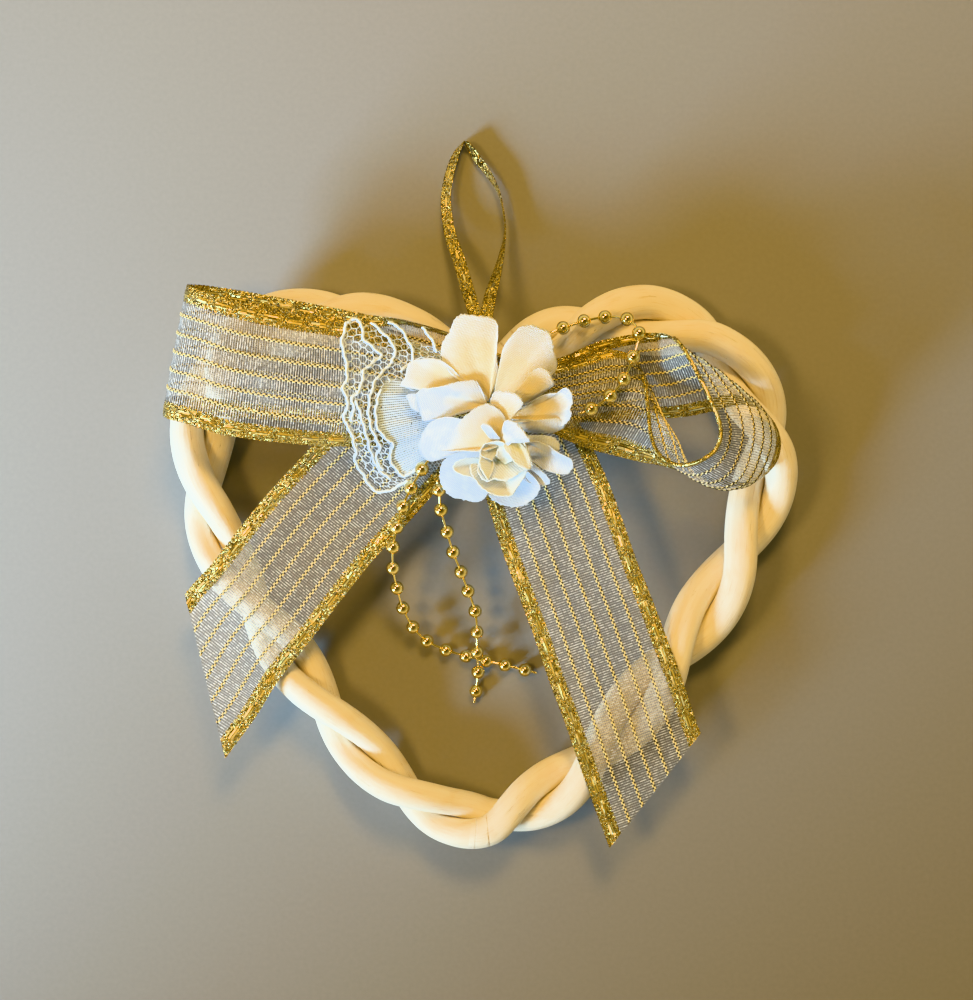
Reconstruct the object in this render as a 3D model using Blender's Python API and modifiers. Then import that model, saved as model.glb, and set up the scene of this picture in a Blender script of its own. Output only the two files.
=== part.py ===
"""Twisted cane heart ornament: two painted canes twisted into a heart, dressed with a sheer
gold-edged ribbon bow, a gathered lace frill, fabric blossoms, bead strings and a hanging loop.

Units are metres, +Z is up and the ornament lies on its back with the dressed side up.
+Y points from the tip of the heart to the cleft and the hanging loop.
"""
import math

import bmesh
import bpy
from mathutils import Vector

MM = 0.001
COLLECTION = "cane_heart_ornament"

# Scale of the reference view: a downward look from EYE_HEIGHT over the surface it lies on
HEART_WIDTH_MM = 150.0
HEART_WIDTH_PX = 625.0
EYE_HEIGHT_MM = 420.0
VIEW_CENTRE_PX = (486.5, 500.0)
ORIGIN_PX = (484.7, 567.5)

# Canes: oval where they press on each other, and squeezed together sideways
CANE_THICKNESS_MM = 8.2
CANE_BREADTH_MM = 9.9
GAP_MM = 0.8
TWIST_RADIUS_MM = (CANE_THICKNESS_MM + GAP_MM) / 2
FRAME_MIDDLE_MM = TWIST_RADIUS_MM + CANE_THICKNESS_MM / 2
CROSSINGS = 14
CANE_RINGS = 5 * CROSSINGS
CANE_SIDES = 10

# Ribbon, lace, thread and petals
RIBBON_MM = 0.6
LACE_MM = 0.6
PETAL_MM = 0.7
LOOP_TAPE_WIDTH_MM = 3.1
LOOP_TAPE_MM = 0.6
BEAD_DIAMETER_MM = 3.3
THREAD_DIAMETER_MM = 0.6

# Middle of the pair, counter-clockwise from the left lobe, with its sideways squeeze. A whole number
# is where one cane passes over the other: (crossing, x, y, squeeze)
HEART_LINE = [
    (0, 345, 315, 0.90), (0.5, 281, 325, 0.93), (1, 227, 357, 0.92), (1.5, 206, 414, 0.92),
    (2, 203, 482, 0.86), (2.5, 219, 542, 0.78), (3, 252, 601, 0.79), (4, 324, 703, 0.78),
    (4.5, 361, 748.5, 0.75), (5, 403, 788, 0.78), (5.5, 448.5, 815, 0.76), (6, 500, 818, 0.84),
    (7, 590, 760, 0.84), (8, 671, 660, 0.91), (9, 738, 555, 0.86), (10, 768, 440, 0.89),
    (11, 711, 341, 0.88), (11.5, 652, 320.5, 0.96), (12, 589, 324, 0.90), (12.5, 545, 343, 0.86),
    (13, 484, 379, 0.88), (13.5, 409.5, 337, 0.83),
]

# Both tails are one strip: outer edge, inner edge, as (x, y, height) from cut end to cut end
TAILS = [
    ((185, 595, 17.2), (225, 758, 17.2)),
    ((213, 563, 17.8), (259, 712, 17.8)),
    ((243, 525, 18.0), (298, 657, 18.0)),
    ((278, 483, 18.0), (341, 600, 18.0)),
    ((315, 444, 18.0), (389, 543, 18.0)),
    ((360, 400, 18.0), (437, 491, 18.0)),
    ((404, 372, 18.0), (468, 452, 18.0)),
    ((446, 358, 17.9), (481, 424, 17.9)),
    ((490, 352, 17.9), (487, 410, 17.9)),
    ((530, 368, 17.9), (486, 426, 17.9)),
    ((564, 404, 18.0), (483, 456, 18.0)),
    ((590, 450, 18.0), (489, 505, 18.0)),
    ((621, 515, 18.0), (513, 572, 18.0)),
    ((650, 583, 18.0), (539, 645, 18.0)),
    ((672, 645, 18.0), (562, 709, 18.0)),
    ((689, 697, 17.8), (587, 779, 17.8)),
    ((701, 733, 17.0), (612, 847, 16.4)),
]

# The loops are one strip: edge to the top of the view, middle, other edge
LOOPS = [
    ((505, 362, 20.0), (507, 388, 19.6), (505, 414, 20.0)),
    ((455, 338, 19.8), (458, 384, 19.5), (452, 418, 19.8)),
    ((400, 322, 19.4), (402, 375, 19.2), (396, 424, 19.4)),
    ((342, 310, 18.9), (340, 367, 18.8), (334, 425, 18.9)),
    ((290, 300, 18.5), (285, 358, 18.5), (279, 420, 18.5)),
    ((240, 291, 18.5), (230, 351, 18.5), (222, 416, 18.5)),
    ((206, 286, 19.4), (196, 347, 19.2), (186, 412, 19.2)),
    ((191, 285, 21.6), (180, 348, 21.4), (169, 412, 21.2)),
    ((187, 285, 24.6), (174, 350, 24.6), (163, 414, 24.6)),
    ((191, 287, 27.6), (178, 353, 27.8), (167, 418, 28.0)),
    ((206, 293, 29.4), (197, 358, 29.8), (186, 423, 29.8)),
    ((240, 304, 29.6), (232, 370, 30.6), (222, 434, 29.6)),
    ((290, 315, 28.4), (286, 380, 29.8), (279, 442, 28.0)),
    ((342, 323, 26.4), (342, 387, 28.0), (335, 446, 25.6)),
    ((395, 336, 24.2), (399, 392, 25.4), (392, 444, 23.6)),
    ((445, 352, 22.4), (450, 395, 22.8), (445, 434, 22.2)),
    ((490, 362, 21.6), (492, 394, 21.6), (490, 424, 21.6)),
    ((526, 364, 21.6), (530, 392, 21.2), (532, 416, 21.0)),
    ((560, 358, 21.9), (568, 392, 20.6), (574, 422, 19.9)),
    ((598, 342, 22.2), (608, 382, 20.4), (614, 420, 19.0)),
    ((630, 335, 22.8), (642, 375, 20.6), (650, 418, 18.6)),
    ((652, 333, 27.0), (668, 372, 24.4), (680, 417, 18.6)),
    ((670, 336, 33.0), (693, 368, 27.6), (710, 412, 18.6)),
    ((684, 348, 38.0), (718, 371, 30.2), (739, 405, 18.8)),
    ((699, 374, 41.4), (737, 386, 32.2), (762, 410, 19.0)),
    ((713, 402, 43.0), (752, 407, 33.6), (776, 425, 19.4)),
    ((722, 428, 43.4), (758, 432, 34.0), (781, 445, 19.8)),
    ((718, 448, 43.2), (753, 459, 33.4), (775, 465, 19.8)),
    ((705, 460, 42.4), (743, 480, 32.4), (758, 480, 19.4)),
    ((688, 466, 40.6), (726, 489, 31.0), (736, 482, 19.0)),
    ((672, 464, 37.6), (705, 485, 29.4), (712, 478, 18.8)),
    ((659, 453, 34.2), (690, 470, 27.6), (688, 473, 18.8)),
    ((652, 433, 31.2), (679, 444, 26.6), (662, 466, 18.8)),
    ((649, 408, 28.6), (664, 422, 25.6), (640, 462, 18.9)),
    ((645, 381, 26.4), (650, 404, 25.2), (620, 457, 19.2)),
    ((635, 358, 24.6), (634, 394, 25.2), (601, 452, 19.8)),
    ((610, 350, 24.0), (610, 391, 24.8), (582, 446, 20.8)),
    ((582, 359, 23.8), (582, 394, 23.8), (563, 438, 21.8)),
    ((552, 367, 23.4), (552, 397, 23.2), (545, 429, 22.6)),
    ((520, 373, 23.2), (520, 397, 23.2), (518, 420, 23.2)),
]

# Lace frill: rows from the gathered end out to the scalloped edge, each from top to bottom
LACE_GATHERED = [(447, 352, 24.0), (452, 396, 24.3), (450, 440, 23.7), (447, 462, 21.6)]
LACE_OUTER = [
    (350, 319, 28.0), (342, 345, 29.0), (344, 378, 29.7), (346, 410, 29.0),
    (352, 440, 27.4), (362, 464, 23.0), (378, 486, 20.8), (410, 488, 20.6),
]
LACE_ACROSS = 4
LACE_ALONG = 12
LACE_WAVES = 3.5
LACE_WAVE_MM = 0.35

# Bead strings: (x, y, height) of the thread's start, of each bead and of the thread's end
BEAD_STRAND_LEFT = [
    (430, 458, 25.0), (422, 469, 24.2), (411, 488, 22.8), (403, 506, 21.6), (397, 527, 20.8),
    (393, 547, 19.6), (393, 568, 16.6), (397, 588, 12.8), (403, 608, 9.0), (413, 627, 5.6),
    (427, 641, 3.4), (446, 650, 2.3), (466, 656, 1.8), (486, 661, 1.7), (505, 665, 1.7),
    (525, 670, 1.7), (537, 673, 1.7),
]
BEAD_STRAND_MIDDLE = [
    (437, 480, 23.6), (439, 490, 22.8), (441, 510, 21.2), (447, 532, 19.2), (453, 552, 17.0),
    (461, 572, 14.6), (468, 591, 12.2), (475, 611, 9.6), (477, 632, 7.2), (477, 652, 5.4),
    (478, 672, 3.4), (476, 691, 1.8), (474, 703, 1.7),
]
BEAD_LOOP = [
    (550, 333, 19.6), (563, 328, 19.4), (584, 321, 19.4), (605, 317, 20.2), (627, 319, 23.8),
    (639, 333, 27.2), (633, 357, 28.8), (624, 379, 28.8), (610, 396, 28.4), (591, 409, 28.0),
    (578, 414, 28.0),
]

# Hanging loop: middle of the tape with the tape's lean from flat, in degrees
HANGING_LOOP = [
    (476, 330, 18.2, 0), (474, 312, 16.6, 0), (467, 288, 12.2, 5), (459, 260, 7.6, 12),
    (451, 238, 4.8, 22), (447, 216, 3.4, 32), (446, 196, 2.8, 38), (449, 176, 2.5, 42),
    (455, 157, 2.3, 50), (460, 147, 2.2, 68), (464.5, 142.5, 2.1, 90), (469, 147, 2.2, 112),
    (478, 160, 2.3, 122), (490, 176, 2.5, 112), (499, 193, 2.7, 96), (504, 215, 3.0, 90),
    (505, 232, 3.6, 94), (502, 251, 5.2, 110), (497, 272, 8.6, 132), (491, 293, 12.6, 156),
    (487, 312, 16.4, 172), (485, 330, 18.4, 180),
]

# Petals: base, tip, width, how far the sides rise and how far the middle arches, in mm
BACK_PETALS = [
    ((482, 408, 25.6), (469, 314, 33.5), 13.2, 1.6, 0.8),
    ((491, 406, 26.3), (536, 325, 34.7), 12.8, 1.4, 0.8),
    ((500, 404, 27.6), (555, 381, 34.0), 6.4, 1.0, 0.8),
    ((500, 414, 27.8), (576, 404, 34.6), 8.6, 2.2, -0.6),
    ((476, 400, 27.2), (400, 381, 31.4), 8.4, 0.8, 1.4),
    ((484, 404, 27.6), (416, 407, 31.0), 9.6, 0.6, 1.4),
]
FRONT_PETALS = [
    ((488, 440, 32.6), (420, 447, 32.8), 10.6, 1.2, 1.2),
    ((500, 430, 34.8), (438, 434, 38.6), 11.0, 0.4, 1.6),
    ((494, 428, 35.4), (508, 392, 39.0), 9.0, 0.6, 1.2),
    ((498, 436, 35.2), (534, 430, 40.0), 8.6, 1.2, 0.8),
    ((504, 448, 31.6), (575, 463, 33.4), 10.4, 1.8, 0.8),
    ((504, 456, 30.4), (550, 484, 30.8), 8.2, 1.0, 0.8),
    ((500, 456, 29.4), (512, 508, 29.2), 13.6, 1.6, 1.2),
    ((492, 456, 29.6), (453, 499, 29.0), 13.4, 1.4, 1.2),
]
HEART_PETALS = [
    ((496, 462, 31.8), (474, 476, 37.6), 9.0, 1.6, 0.6),
    ((500, 462, 32.2), (512, 490, 37.4), 9.4, 1.6, 0.6),
    ((502, 458, 32.4), (530, 458, 38.2), 8.6, 1.6, 0.6),
    ((498, 456, 32.6), (492, 440, 37.8), 7.4, 1.2, 0.6),
]
PETAL_ALONG = 5
PETAL_ACROSS = 4
PETAL_FOOT_SHARE = 0.34
PETAL_WIDEST_AT = 0.66
PETAL_ROUNDING = 0.48
PETAL_TIP_AT = 0.97
PETAL_BULGE = 0.07
PETAL_BULGE_FROM = 0.8
BOSS_TAPER = 0.7
BACK_BOSS = ((487, 408, 26.65), 3.4, 5.6)
FRONT_BOSS = ((498, 448, 27.7), 3.6, 18.0)

PAINTED_CANE = ("painted_cane", (0.86, 0.78, 0.66), 0.6, 0.0)
SHEER_RIBBON = ("sheer_gold_ribbon", (0.72, 0.66, 0.52), 0.45, 0.2)
WHITE_LACE = ("white_lace", (0.88, 0.87, 0.88), 0.8, 0.0)
CREAM_FABRIC = ("cream_petal_fabric", (0.88, 0.82, 0.76), 0.75, 0.0)
GOLD_BEADS = ("gold_beads", (0.78, 0.58, 0.2), 0.2, 0.9)
GOLD_TAPE = ("gold_tape", (0.72, 0.52, 0.18), 0.35, 0.8)


def clear_scene():
    for item in list(bpy.data.objects):
        bpy.data.objects.remove(item, do_unlink=True)


def part_collection():
    found = bpy.data.collections.new(COLLECTION)
    bpy.context.scene.collection.children.link(found)
    return found


def material(kind):
    name, colour, roughness, metallic = kind
    made = bpy.data.materials.get(name)
    if made is None:
        made = bpy.data.materials.new(name)
        made.use_nodes = True
        shader = made.node_tree.nodes["Principled BSDF"]
        shader.inputs["Base Color"].default_value = (*colour, 1.0)
        shader.inputs["Roughness"].default_value = roughness
        shader.inputs["Metallic"].default_value = metallic
    return made


def seen(x, y, height):
    """The point at a height in mm that the reference view shows at pixel (x, y)."""
    nearer = (EYE_HEIGHT_MM - height) / (EYE_HEIGHT_MM - FRAME_MIDDLE_MM)
    scale = HEART_WIDTH_MM / HEART_WIDTH_PX
    across = (x - VIEW_CENTRE_PX[0]) * nearer + VIEW_CENTRE_PX[0] - ORIGIN_PX[0]
    up = (VIEW_CENTRE_PX[1] - y) * nearer + ORIGIN_PX[1] - VIEW_CENTRE_PX[1]
    return Vector((across * scale, up * scale, height)) * MM


def smooth_between(points, knots, at):
    """A smooth curve through points at their knots, read at one value of the knot."""
    count = len(points)
    span = 0
    while span < count - 2 and at > knots[span + 1]:
        span += 1
    before, after = max(span - 1, 0), min(span + 2, count - 1)
    start, end = points[span], points[span + 1]
    width = knots[span + 1] - knots[span]
    leave = (end - points[before]) / (knots[span + 1] - knots[before])
    reach = (points[after] - start) / (knots[after] - knots[span])
    t = (at - knots[span]) / width
    return (
        start * (2 * t**3 - 3 * t**2 + 1)
        + leave * width * (t**3 - 2 * t**2 + t)
        + end * (3 * t**2 - 2 * t**3)
        + reach * width * (t**3 - t**2)
    )


def curve_length_knots(points):
    knots = [0.0]
    for near, far in zip(points, points[1:]):
        knots.append(knots[-1] + (far - near).length)
    return knots


def closed_heart(at):
    """The middle of the twisted pair at a number of crossings, with its squeeze as fourth value."""
    wrap = 3
    points = [Vector((*seen(x, y, FRAME_MIDDLE_MM), squeeze)) for _, x, y, squeeze in HEART_LINE]
    knots = [row[0] for row in HEART_LINE]
    points = points[-wrap:] + points + points[:wrap]
    knots = (
        [knot - CROSSINGS for knot in knots[-wrap:]] + knots + [knot + CROSSINGS for knot in knots[:wrap]]
    )
    return smooth_between(points, knots, at)


def tube(name, kind, points, radius, radii=None, resolution=2):
    curve = bpy.data.curves.new(name, "CURVE")
    curve.dimensions = "3D"
    curve.bevel_depth = radius
    curve.bevel_resolution = resolution
    curve.use_fill_caps = True
    spline = curve.splines.new("POLY")
    spline.points.add(len(points) - 1)
    for index, place in enumerate(points):
        spline.points[index].co = (*place, 1.0)
        spline.points[index].radius = 1.0 if radii is None else radii[index]
    spline.use_smooth = True
    made = bpy.data.objects.new(name, curve)
    curve.materials.append(material(kind))
    PARTS.objects.link(made)
    return made


def cane(name, phase):
    """One cane of the pair: it circles the heart line once for every two crossings."""
    rings = []
    step = CROSSINGS / CANE_RINGS
    for ring in range(CANE_RINGS):
        at = ring * step
        middle = closed_heart(at)
        along = (closed_heart(at + step / 2) - closed_heart(at - step / 2)).xyz.normalized()
        outward = along.cross(Vector((0, 0, 1)))
        turn = math.pi * at + phase
        corners = []
        for corner in range(CANE_SIDES):
            spin = 2 * math.pi * corner / CANE_SIDES - turn
            far = TWIST_RADIUS_MM + CANE_THICKNESS_MM / 2 * math.cos(spin)
            side = CANE_BREADTH_MM / 2 * math.sin(spin)
            sideways = (far * math.cos(turn) - side * math.sin(turn)) * middle.w
            up = far * math.sin(turn) + side * math.cos(turn)
            corners.append(middle.xyz + (outward * sideways + Vector((0, 0, up))) * MM)
        rings.append(corners)
    return ring_mesh(name, PAINTED_CANE, rings)


def ring_mesh(name, kind, rings):
    """A closed ring of closed profiles."""
    mesh = bpy.data.meshes.new(name)
    skin = bmesh.new()
    made = [[skin.verts.new(place) for place in ring] for ring in rings]
    for near, far in zip(made, made[1:] + made[:1]):
        for index in range(len(near)):
            after = (index + 1) % len(near)
            skin.faces.new((near[index], near[after], far[after], far[index]))
    bmesh.ops.recalc_face_normals(skin, faces=skin.faces)
    skin.to_mesh(mesh)
    skin.free()
    mesh.materials.append(material(kind))
    made_object = bpy.data.objects.new(name, mesh)
    PARTS.objects.link(made_object)
    return made_object


def sheet_mesh(name, rows, thickness):
    """A grid of quads through rows of points, given its thickness on both sides."""
    mesh = bpy.data.meshes.new(name)
    grid = bmesh.new()
    made = [[grid.verts.new(place) for place in row] for row in rows]
    for near, far in zip(made, made[1:]):
        for index in range(len(near) - 1):
            grid.faces.new((near[index], near[index + 1], far[index + 1], far[index]))
    grid.to_mesh(mesh)
    grid.free()
    made_object = bpy.data.objects.new(name, mesh)
    wall = made_object.modifiers.new("wall", "SOLIDIFY")
    wall.thickness = thickness * MM
    wall.offset = 0.0
    return made_object


def sheet(name, kind, rows, thickness):
    made = sheet_mesh(name, rows, thickness)
    made.data.materials.append(material(kind))
    PARTS.objects.link(made)
    return made


def across_three(top, middle, bottom, share):
    """A parabola through three points, as a ribbon bows between its edges."""
    return (
        top * (2 * (share - 0.5) * (share - 1))
        + middle * (4 * share * (1 - share))
        + bottom * (2 * share * (share - 0.5))
    )


def ribbon_loops():
    rows = []
    for top, middle, bottom in LOOPS:
        ends = (seen(*top), seen(*middle), seen(*bottom))
        rows.append([across_three(*ends, share / 4) for share in range(5)])
    return sheet("ribbon_loops", SHEER_RIBBON, rows, RIBBON_MM)


def ribbon_tails():
    rows = []
    for outer, inner in TAILS:
        start, end = seen(*outer), seen(*inner)
        rows.append([start.lerp(end, share / 2) for share in range(3)])
    return sheet("ribbon_tails", SHEER_RIBBON, rows, RIBBON_MM)


def lace_frill():
    gathered = [seen(*spot) for spot in LACE_GATHERED]
    outer = [seen(*spot) for spot in LACE_OUTER]
    gathered_knots, outer_knots = curve_length_knots(gathered), curve_length_knots(outer)
    rows = []
    for column in range(LACE_ALONG + 1):
        share = column / LACE_ALONG
        start = smooth_between(gathered, gathered_knots, share * gathered_knots[-1])
        end = smooth_between(outer, outer_knots, share * outer_knots[-1])
        wave = LACE_WAVE_MM * MM * math.sin(2 * math.pi * LACE_WAVES * share)
        row = []
        for step in range(LACE_ACROSS + 1):
            out = step / LACE_ACROSS
            row.append(start.lerp(end, out) + Vector((0, 0, wave * out)))
        rows.append(row)
    return sheet("lace_frill", WHITE_LACE, rows, LACE_MM)


def petal_rows(base, tip, width, rise, arch):
    start, end = seen(*base), seen(*tip)
    along = end - start
    flat_side = Vector((0, 0, 1)).cross(along).normalized()
    over = along.cross(flat_side).normalized()
    rows = []
    for step in range(PETAL_ALONG + 1):
        out = step / PETAL_ALONG
        reach = min(out, PETAL_TIP_AT)
        half = width / 2 * MM * petal_half_width(out)
        middle = start + along * reach + over * arch * MM * math.sin(math.pi * out)
        row = []
        for place in range(PETAL_ACROSS + 1):
            side = 2 * place / PETAL_ACROSS - 1
            near_tip = max(0.0, out - PETAL_BULGE_FROM) / (1 - PETAL_BULGE_FROM)
            bulge = along * PETAL_BULGE * (1 - side * side) * near_tip
            lift = over * rise * MM * side * side * out
            row.append(middle + flat_side * half * side + lift + bulge)
        rows.append(row)
    return rows


def petal_half_width(out):
    """Narrow at the base, widest two thirds out, blunt at the tip."""
    opening = math.sin(math.pi / 2 * min(1.0, out / PETAL_WIDEST_AT))
    rising = PETAL_FOOT_SHARE + (1 - PETAL_FOOT_SHARE) * opening
    past = max(0.0, out - PETAL_WIDEST_AT) / PETAL_ROUNDING
    return rising * math.sqrt(1 - past * past)


def boss(name, place, radius, height):
    """The stub that the petals are fixed to."""
    mesh = bpy.data.meshes.new(name)
    turned = bmesh.new()
    bmesh.ops.create_cone(
        turned,
        cap_ends=True,
        segments=8,
        radius1=radius * MM,
        radius2=radius * BOSS_TAPER * MM,
        depth=height * MM,
    )
    bmesh.ops.translate(turned, verts=turned.verts, vec=seen(*place))
    turned.to_mesh(mesh)
    turned.free()
    return bpy.data.objects.new(name, mesh)


def as_mesh(item):
    """Its evaluated shape as a plain mesh object in the cutters' collection."""
    CUTTERS.objects.link(item)
    evaluated = item.evaluated_get(bpy.context.evaluated_depsgraph_get())
    plain = bpy.data.objects.new(item.name + "_shape", bpy.data.meshes.new_from_object(evaluated))
    bpy.data.objects.remove(item, do_unlink=True)
    CUTTERS.objects.link(plain)
    plain.hide_render = True
    plain.display_type = "WIRE"
    return plain


def blossom(name, petals, boss_size):
    """Cut petals fused to their stub, one after the other."""
    centre, radius, height = boss_size
    body = boss(name, centre, radius, height)
    body.data.materials.append(material(CREAM_FABRIC))
    PARTS.objects.link(body)
    for number, petal in enumerate(petals):
        shape = as_mesh(sheet_mesh(f"{name}_petal_{number}", petal_rows(*petal), PETAL_MM))
        union = body.modifiers.new(f"petal_{number}", "BOOLEAN")
        union.operation = "UNION"
        union.solver = "EXACT"
        union.use_self = True
        union.object = shape
    return body


def bead_string(name, route):
    """A thread that swells to a bead's round profile at every inner point of its route."""
    corners = [seen(*spot) for spot in route]
    knots = curve_length_knots(corners)
    bead, thread = BEAD_DIAMETER_MM / 2, THREAD_DIAMETER_MM / 2
    profile = [(-1.0, thread), (-0.68, 0.73 * bead), (0.0, bead), (0.68, 0.73 * bead), (1.0, thread)]
    stations = [(0.0, thread)]
    for middle in knots[1:-1]:
        for offset, radius in profile:
            stations.append((middle + offset * bead * MM, radius))
    stations.append((knots[-1], thread))
    points = [smooth_between(corners, knots, at) for at, _ in stations]
    radii = [radius / thread for _, radius in stations]
    return tube(name, GOLD_BEADS, points, thread * MM, radii=radii, resolution=1)


def hanging_loop():
    middles = [seen(x, y, height) for x, y, height, _ in HANGING_LOOP]
    knots = curve_length_knots(middles)
    rows = []
    for index, (_, _, _, lean) in enumerate(HANGING_LOOP):
        before, after = max(index - 1, 0), min(index + 1, len(middles) - 1)
        along = (middles[after] - middles[before]).normalized()
        level = Vector((0, 0, 1)).cross(along).normalized()
        upright = along.cross(level)
        turn = math.radians(lean)
        side = level * math.cos(turn) - upright * math.sin(turn)
        half = side * LOOP_TAPE_WIDTH_MM / 2 * MM
        rows.append([middles[index] - half, middles[index] + half])
    return sheet("hanging_loop", GOLD_TAPE, rows, LOOP_TAPE_MM)


clear_scene()
PARTS = part_collection()
CUTTERS = bpy.data.collections.new("petal_cutters")
bpy.context.scene.collection.children.link(CUTTERS)

cane("cane_one", math.pi / 2)
cane("cane_two", -math.pi / 2)
ribbon_tails()
ribbon_loops()
lace_frill()
blossom("blossom_back", BACK_PETALS, BACK_BOSS)
blossom("blossom_front", FRONT_PETALS + HEART_PETALS, FRONT_BOSS)
bead_string("bead_strand_left", BEAD_STRAND_LEFT)
bead_string("bead_strand_middle", BEAD_STRAND_MIDDLE)
bead_string("bead_loop", BEAD_LOOP)
hanging_loop()
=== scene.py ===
"""Looks of the twisted cane heart ornament: painted canes, a sheer gold-edged bow, lace, fabric
blossoms, bead strings and a tape loop. Metres, +Z up, lying on its back with the dressed side up.
"""
import math
import random
from functools import partialmethod

import bmesh
import bpy
import numpy as np
from mathutils import Matrix, Vector


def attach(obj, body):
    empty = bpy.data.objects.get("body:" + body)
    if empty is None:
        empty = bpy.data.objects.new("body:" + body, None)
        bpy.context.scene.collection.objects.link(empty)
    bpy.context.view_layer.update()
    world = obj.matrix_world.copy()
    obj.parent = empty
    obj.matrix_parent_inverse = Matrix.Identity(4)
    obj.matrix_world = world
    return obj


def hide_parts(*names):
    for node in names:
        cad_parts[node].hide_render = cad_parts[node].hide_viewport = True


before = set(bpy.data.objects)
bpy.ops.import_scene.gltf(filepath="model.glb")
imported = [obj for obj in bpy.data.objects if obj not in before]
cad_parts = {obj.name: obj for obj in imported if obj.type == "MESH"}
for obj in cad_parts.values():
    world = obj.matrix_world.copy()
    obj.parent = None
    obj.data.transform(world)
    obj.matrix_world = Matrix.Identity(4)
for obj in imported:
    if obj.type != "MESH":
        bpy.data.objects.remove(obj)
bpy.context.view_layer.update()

MM = 0.001
BODY = "root"

# Scale of the reference view: a downward look from EYE_HEIGHT over the surface it lies on
HEART_WIDTH_MM = 150.0
HEART_WIDTH_PX = 625.0
PIXEL_MM = HEART_WIDTH_MM / HEART_WIDTH_PX
PICTURE_WIDTH_PX = 973.0
EYE_HEIGHT_MM = 420.0
VIEW_CENTRE_PX = (486.5, 500.0)
ORIGIN_PX = (484.7, 567.5)

# Canes: oval where they press on each other, each from a butt joint between two crossings
CANE_RADIUS_MM = 4.36
CANE_HALF_BREADTH_MM = 4.95
TWIST_RADIUS_MM = 4.4
FRAME_MIDDLE_MM = 8.6
CROSSINGS = 14
FIRST_JOINT = 5.72
SECOND_JOINT = 12.6
CANE_RINGS = 30 * CROSSINGS
CANE_SIDES = 36
CANE_WAVES = (3, 7, 13, 22)
PATCH_ENDS_MM = (1.4, 5.2)
PATCH_HALF_WIDTH_MM = 1.7

# Ribbon
RIBBON_WIDTH_MM = 30.0
BORDER_WIDTH_MM = 3.7
STANDING_MM = 1.0
MOUTH_EDGE_MM = 0.95
STRIPE_PITCH_MM = 4.2
STRIPES = 5
WEFT_PITCH_MM = 0.58
DOT_PITCH_MM = 2 * WEFT_PITCH_MM
WARP_PITCH_MM = 0.5
GROUND_EDGE_MM = BORDER_WIDTH_MM - 0.5
GROUND_WIDTH_MM = RIBBON_WIDTH_MM - 2 * GROUND_EDGE_MM
GROUND_COLUMNS = 22
GROUND_STEP_MM = 0.8
BORDER_COLUMNS = 12
BORDER_STEP_MM = 0.24
YARN_MM = 0.30
PICK_MM = 0.36
RELIEF_MM = 0.62
SCALLOP_MM = 1.05
FLOAT_MM = 3.6
FLOAT_REPEAT_MM = 5.8
STRIPE_HALF_MM = 0.19
STRIPE_THREAD_MM = 0.34

# Beads, thread, tape and petals
BEAD_RADIUS_MM = 1.65
THREAD_RADIUS_MM = 0.3
TAPE_WIDTH_MM = 3.1
TAPE_MM = 0.36
PETAL_MM = 0.2
PETAL_STEPS_MM = (0.34, 0.4)

LAMP_COLOUR = (1.0, 0.60, 0.15)

# Middle of the pair, anticlockwise from the left lobe: (crossing, x, y, sideways squeeze)
HEART_LINE = [
    (0, 345, 315, 0.90), (0.5, 281, 325, 0.93), (1, 227, 357, 0.92), (1.5, 206, 414, 0.92),
    (2, 203, 482, 0.86), (2.5, 219, 542, 0.78), (3, 252, 601, 0.79), (4, 324, 703, 0.78),
    (4.5, 361, 748.5, 0.75), (5, 403, 788, 0.78), (5.5, 448.5, 815, 0.76), (6, 500, 818, 0.84),
    (7, 590, 760, 0.84), (8, 671, 660, 0.91), (9, 738, 555, 0.86), (10, 768, 440, 0.89),
    (11, 711, 341, 0.88), (11.5, 652, 320.5, 0.96), (12, 589, 324, 0.90), (12.5, 545, 343, 0.86),
    (13, 484, 379, 0.88), (13.5, 409.5, 337, 0.83),
]

# Both tails are one strip, squarely across from edge to edge and run past the slanting cuts
TAIL_ROWS = [
    ((104, 712, 16.6), (205, 785, 16.6)),
    ((125, 683, 16.9), (225, 758, 17.0)),
    ((149, 651, 17.1), (255, 717, 17.4)),
    ((185, 595, 17.2), (279, 679, 17.8)),
    ((213, 563, 17.8), (307, 644, 18.0)),
    ((241, 527, 18.0), (337, 605, 18.0)),
    ((275, 486, 18.0), (371, 562, 18.0)),
    ((315, 444, 18.0), (407, 523, 18.0)),
    ((360, 400, 18.0), (440, 486, 18.0)),
    ((404, 372, 18.0), (468, 452, 18.0)),
    ((446, 358, 17.9), (481, 424, 17.9)),
    ((490, 352, 17.9), (487, 410, 17.9)),
    ((530, 368, 17.9), (486, 426, 17.9)),
    ((564, 400, 18.0), (482, 450, 18.0)),
    ((588, 440, 18.0), (484, 486, 18.0)),
    ((607, 480, 18.0), (493, 520, 18.0)),
    ((622, 520, 18.0), (506, 560, 18.0)),
    ((636, 560, 18.0), (521, 600, 18.0)),
    ((652, 600, 18.0), (536, 641, 18.0)),
    ((667, 640, 18.0), (550, 682, 18.0)),
    ((682, 680, 17.9), (565, 722, 18.0)),
    ((696, 722, 17.3), (580, 765, 17.9)),
    ((711, 762, 16.9), (595, 807, 17.2)),
    ((726, 802, 16.5), (609, 845, 16.4)),
    ((741, 842, 16.0), (624, 885, 15.8)),
]
LEFT_CUT = ((185, 595), (225, 758))
RIGHT_CUT = ((701, 733), (611, 847))
CUT_HEIGHT_MM = 17.2

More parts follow.
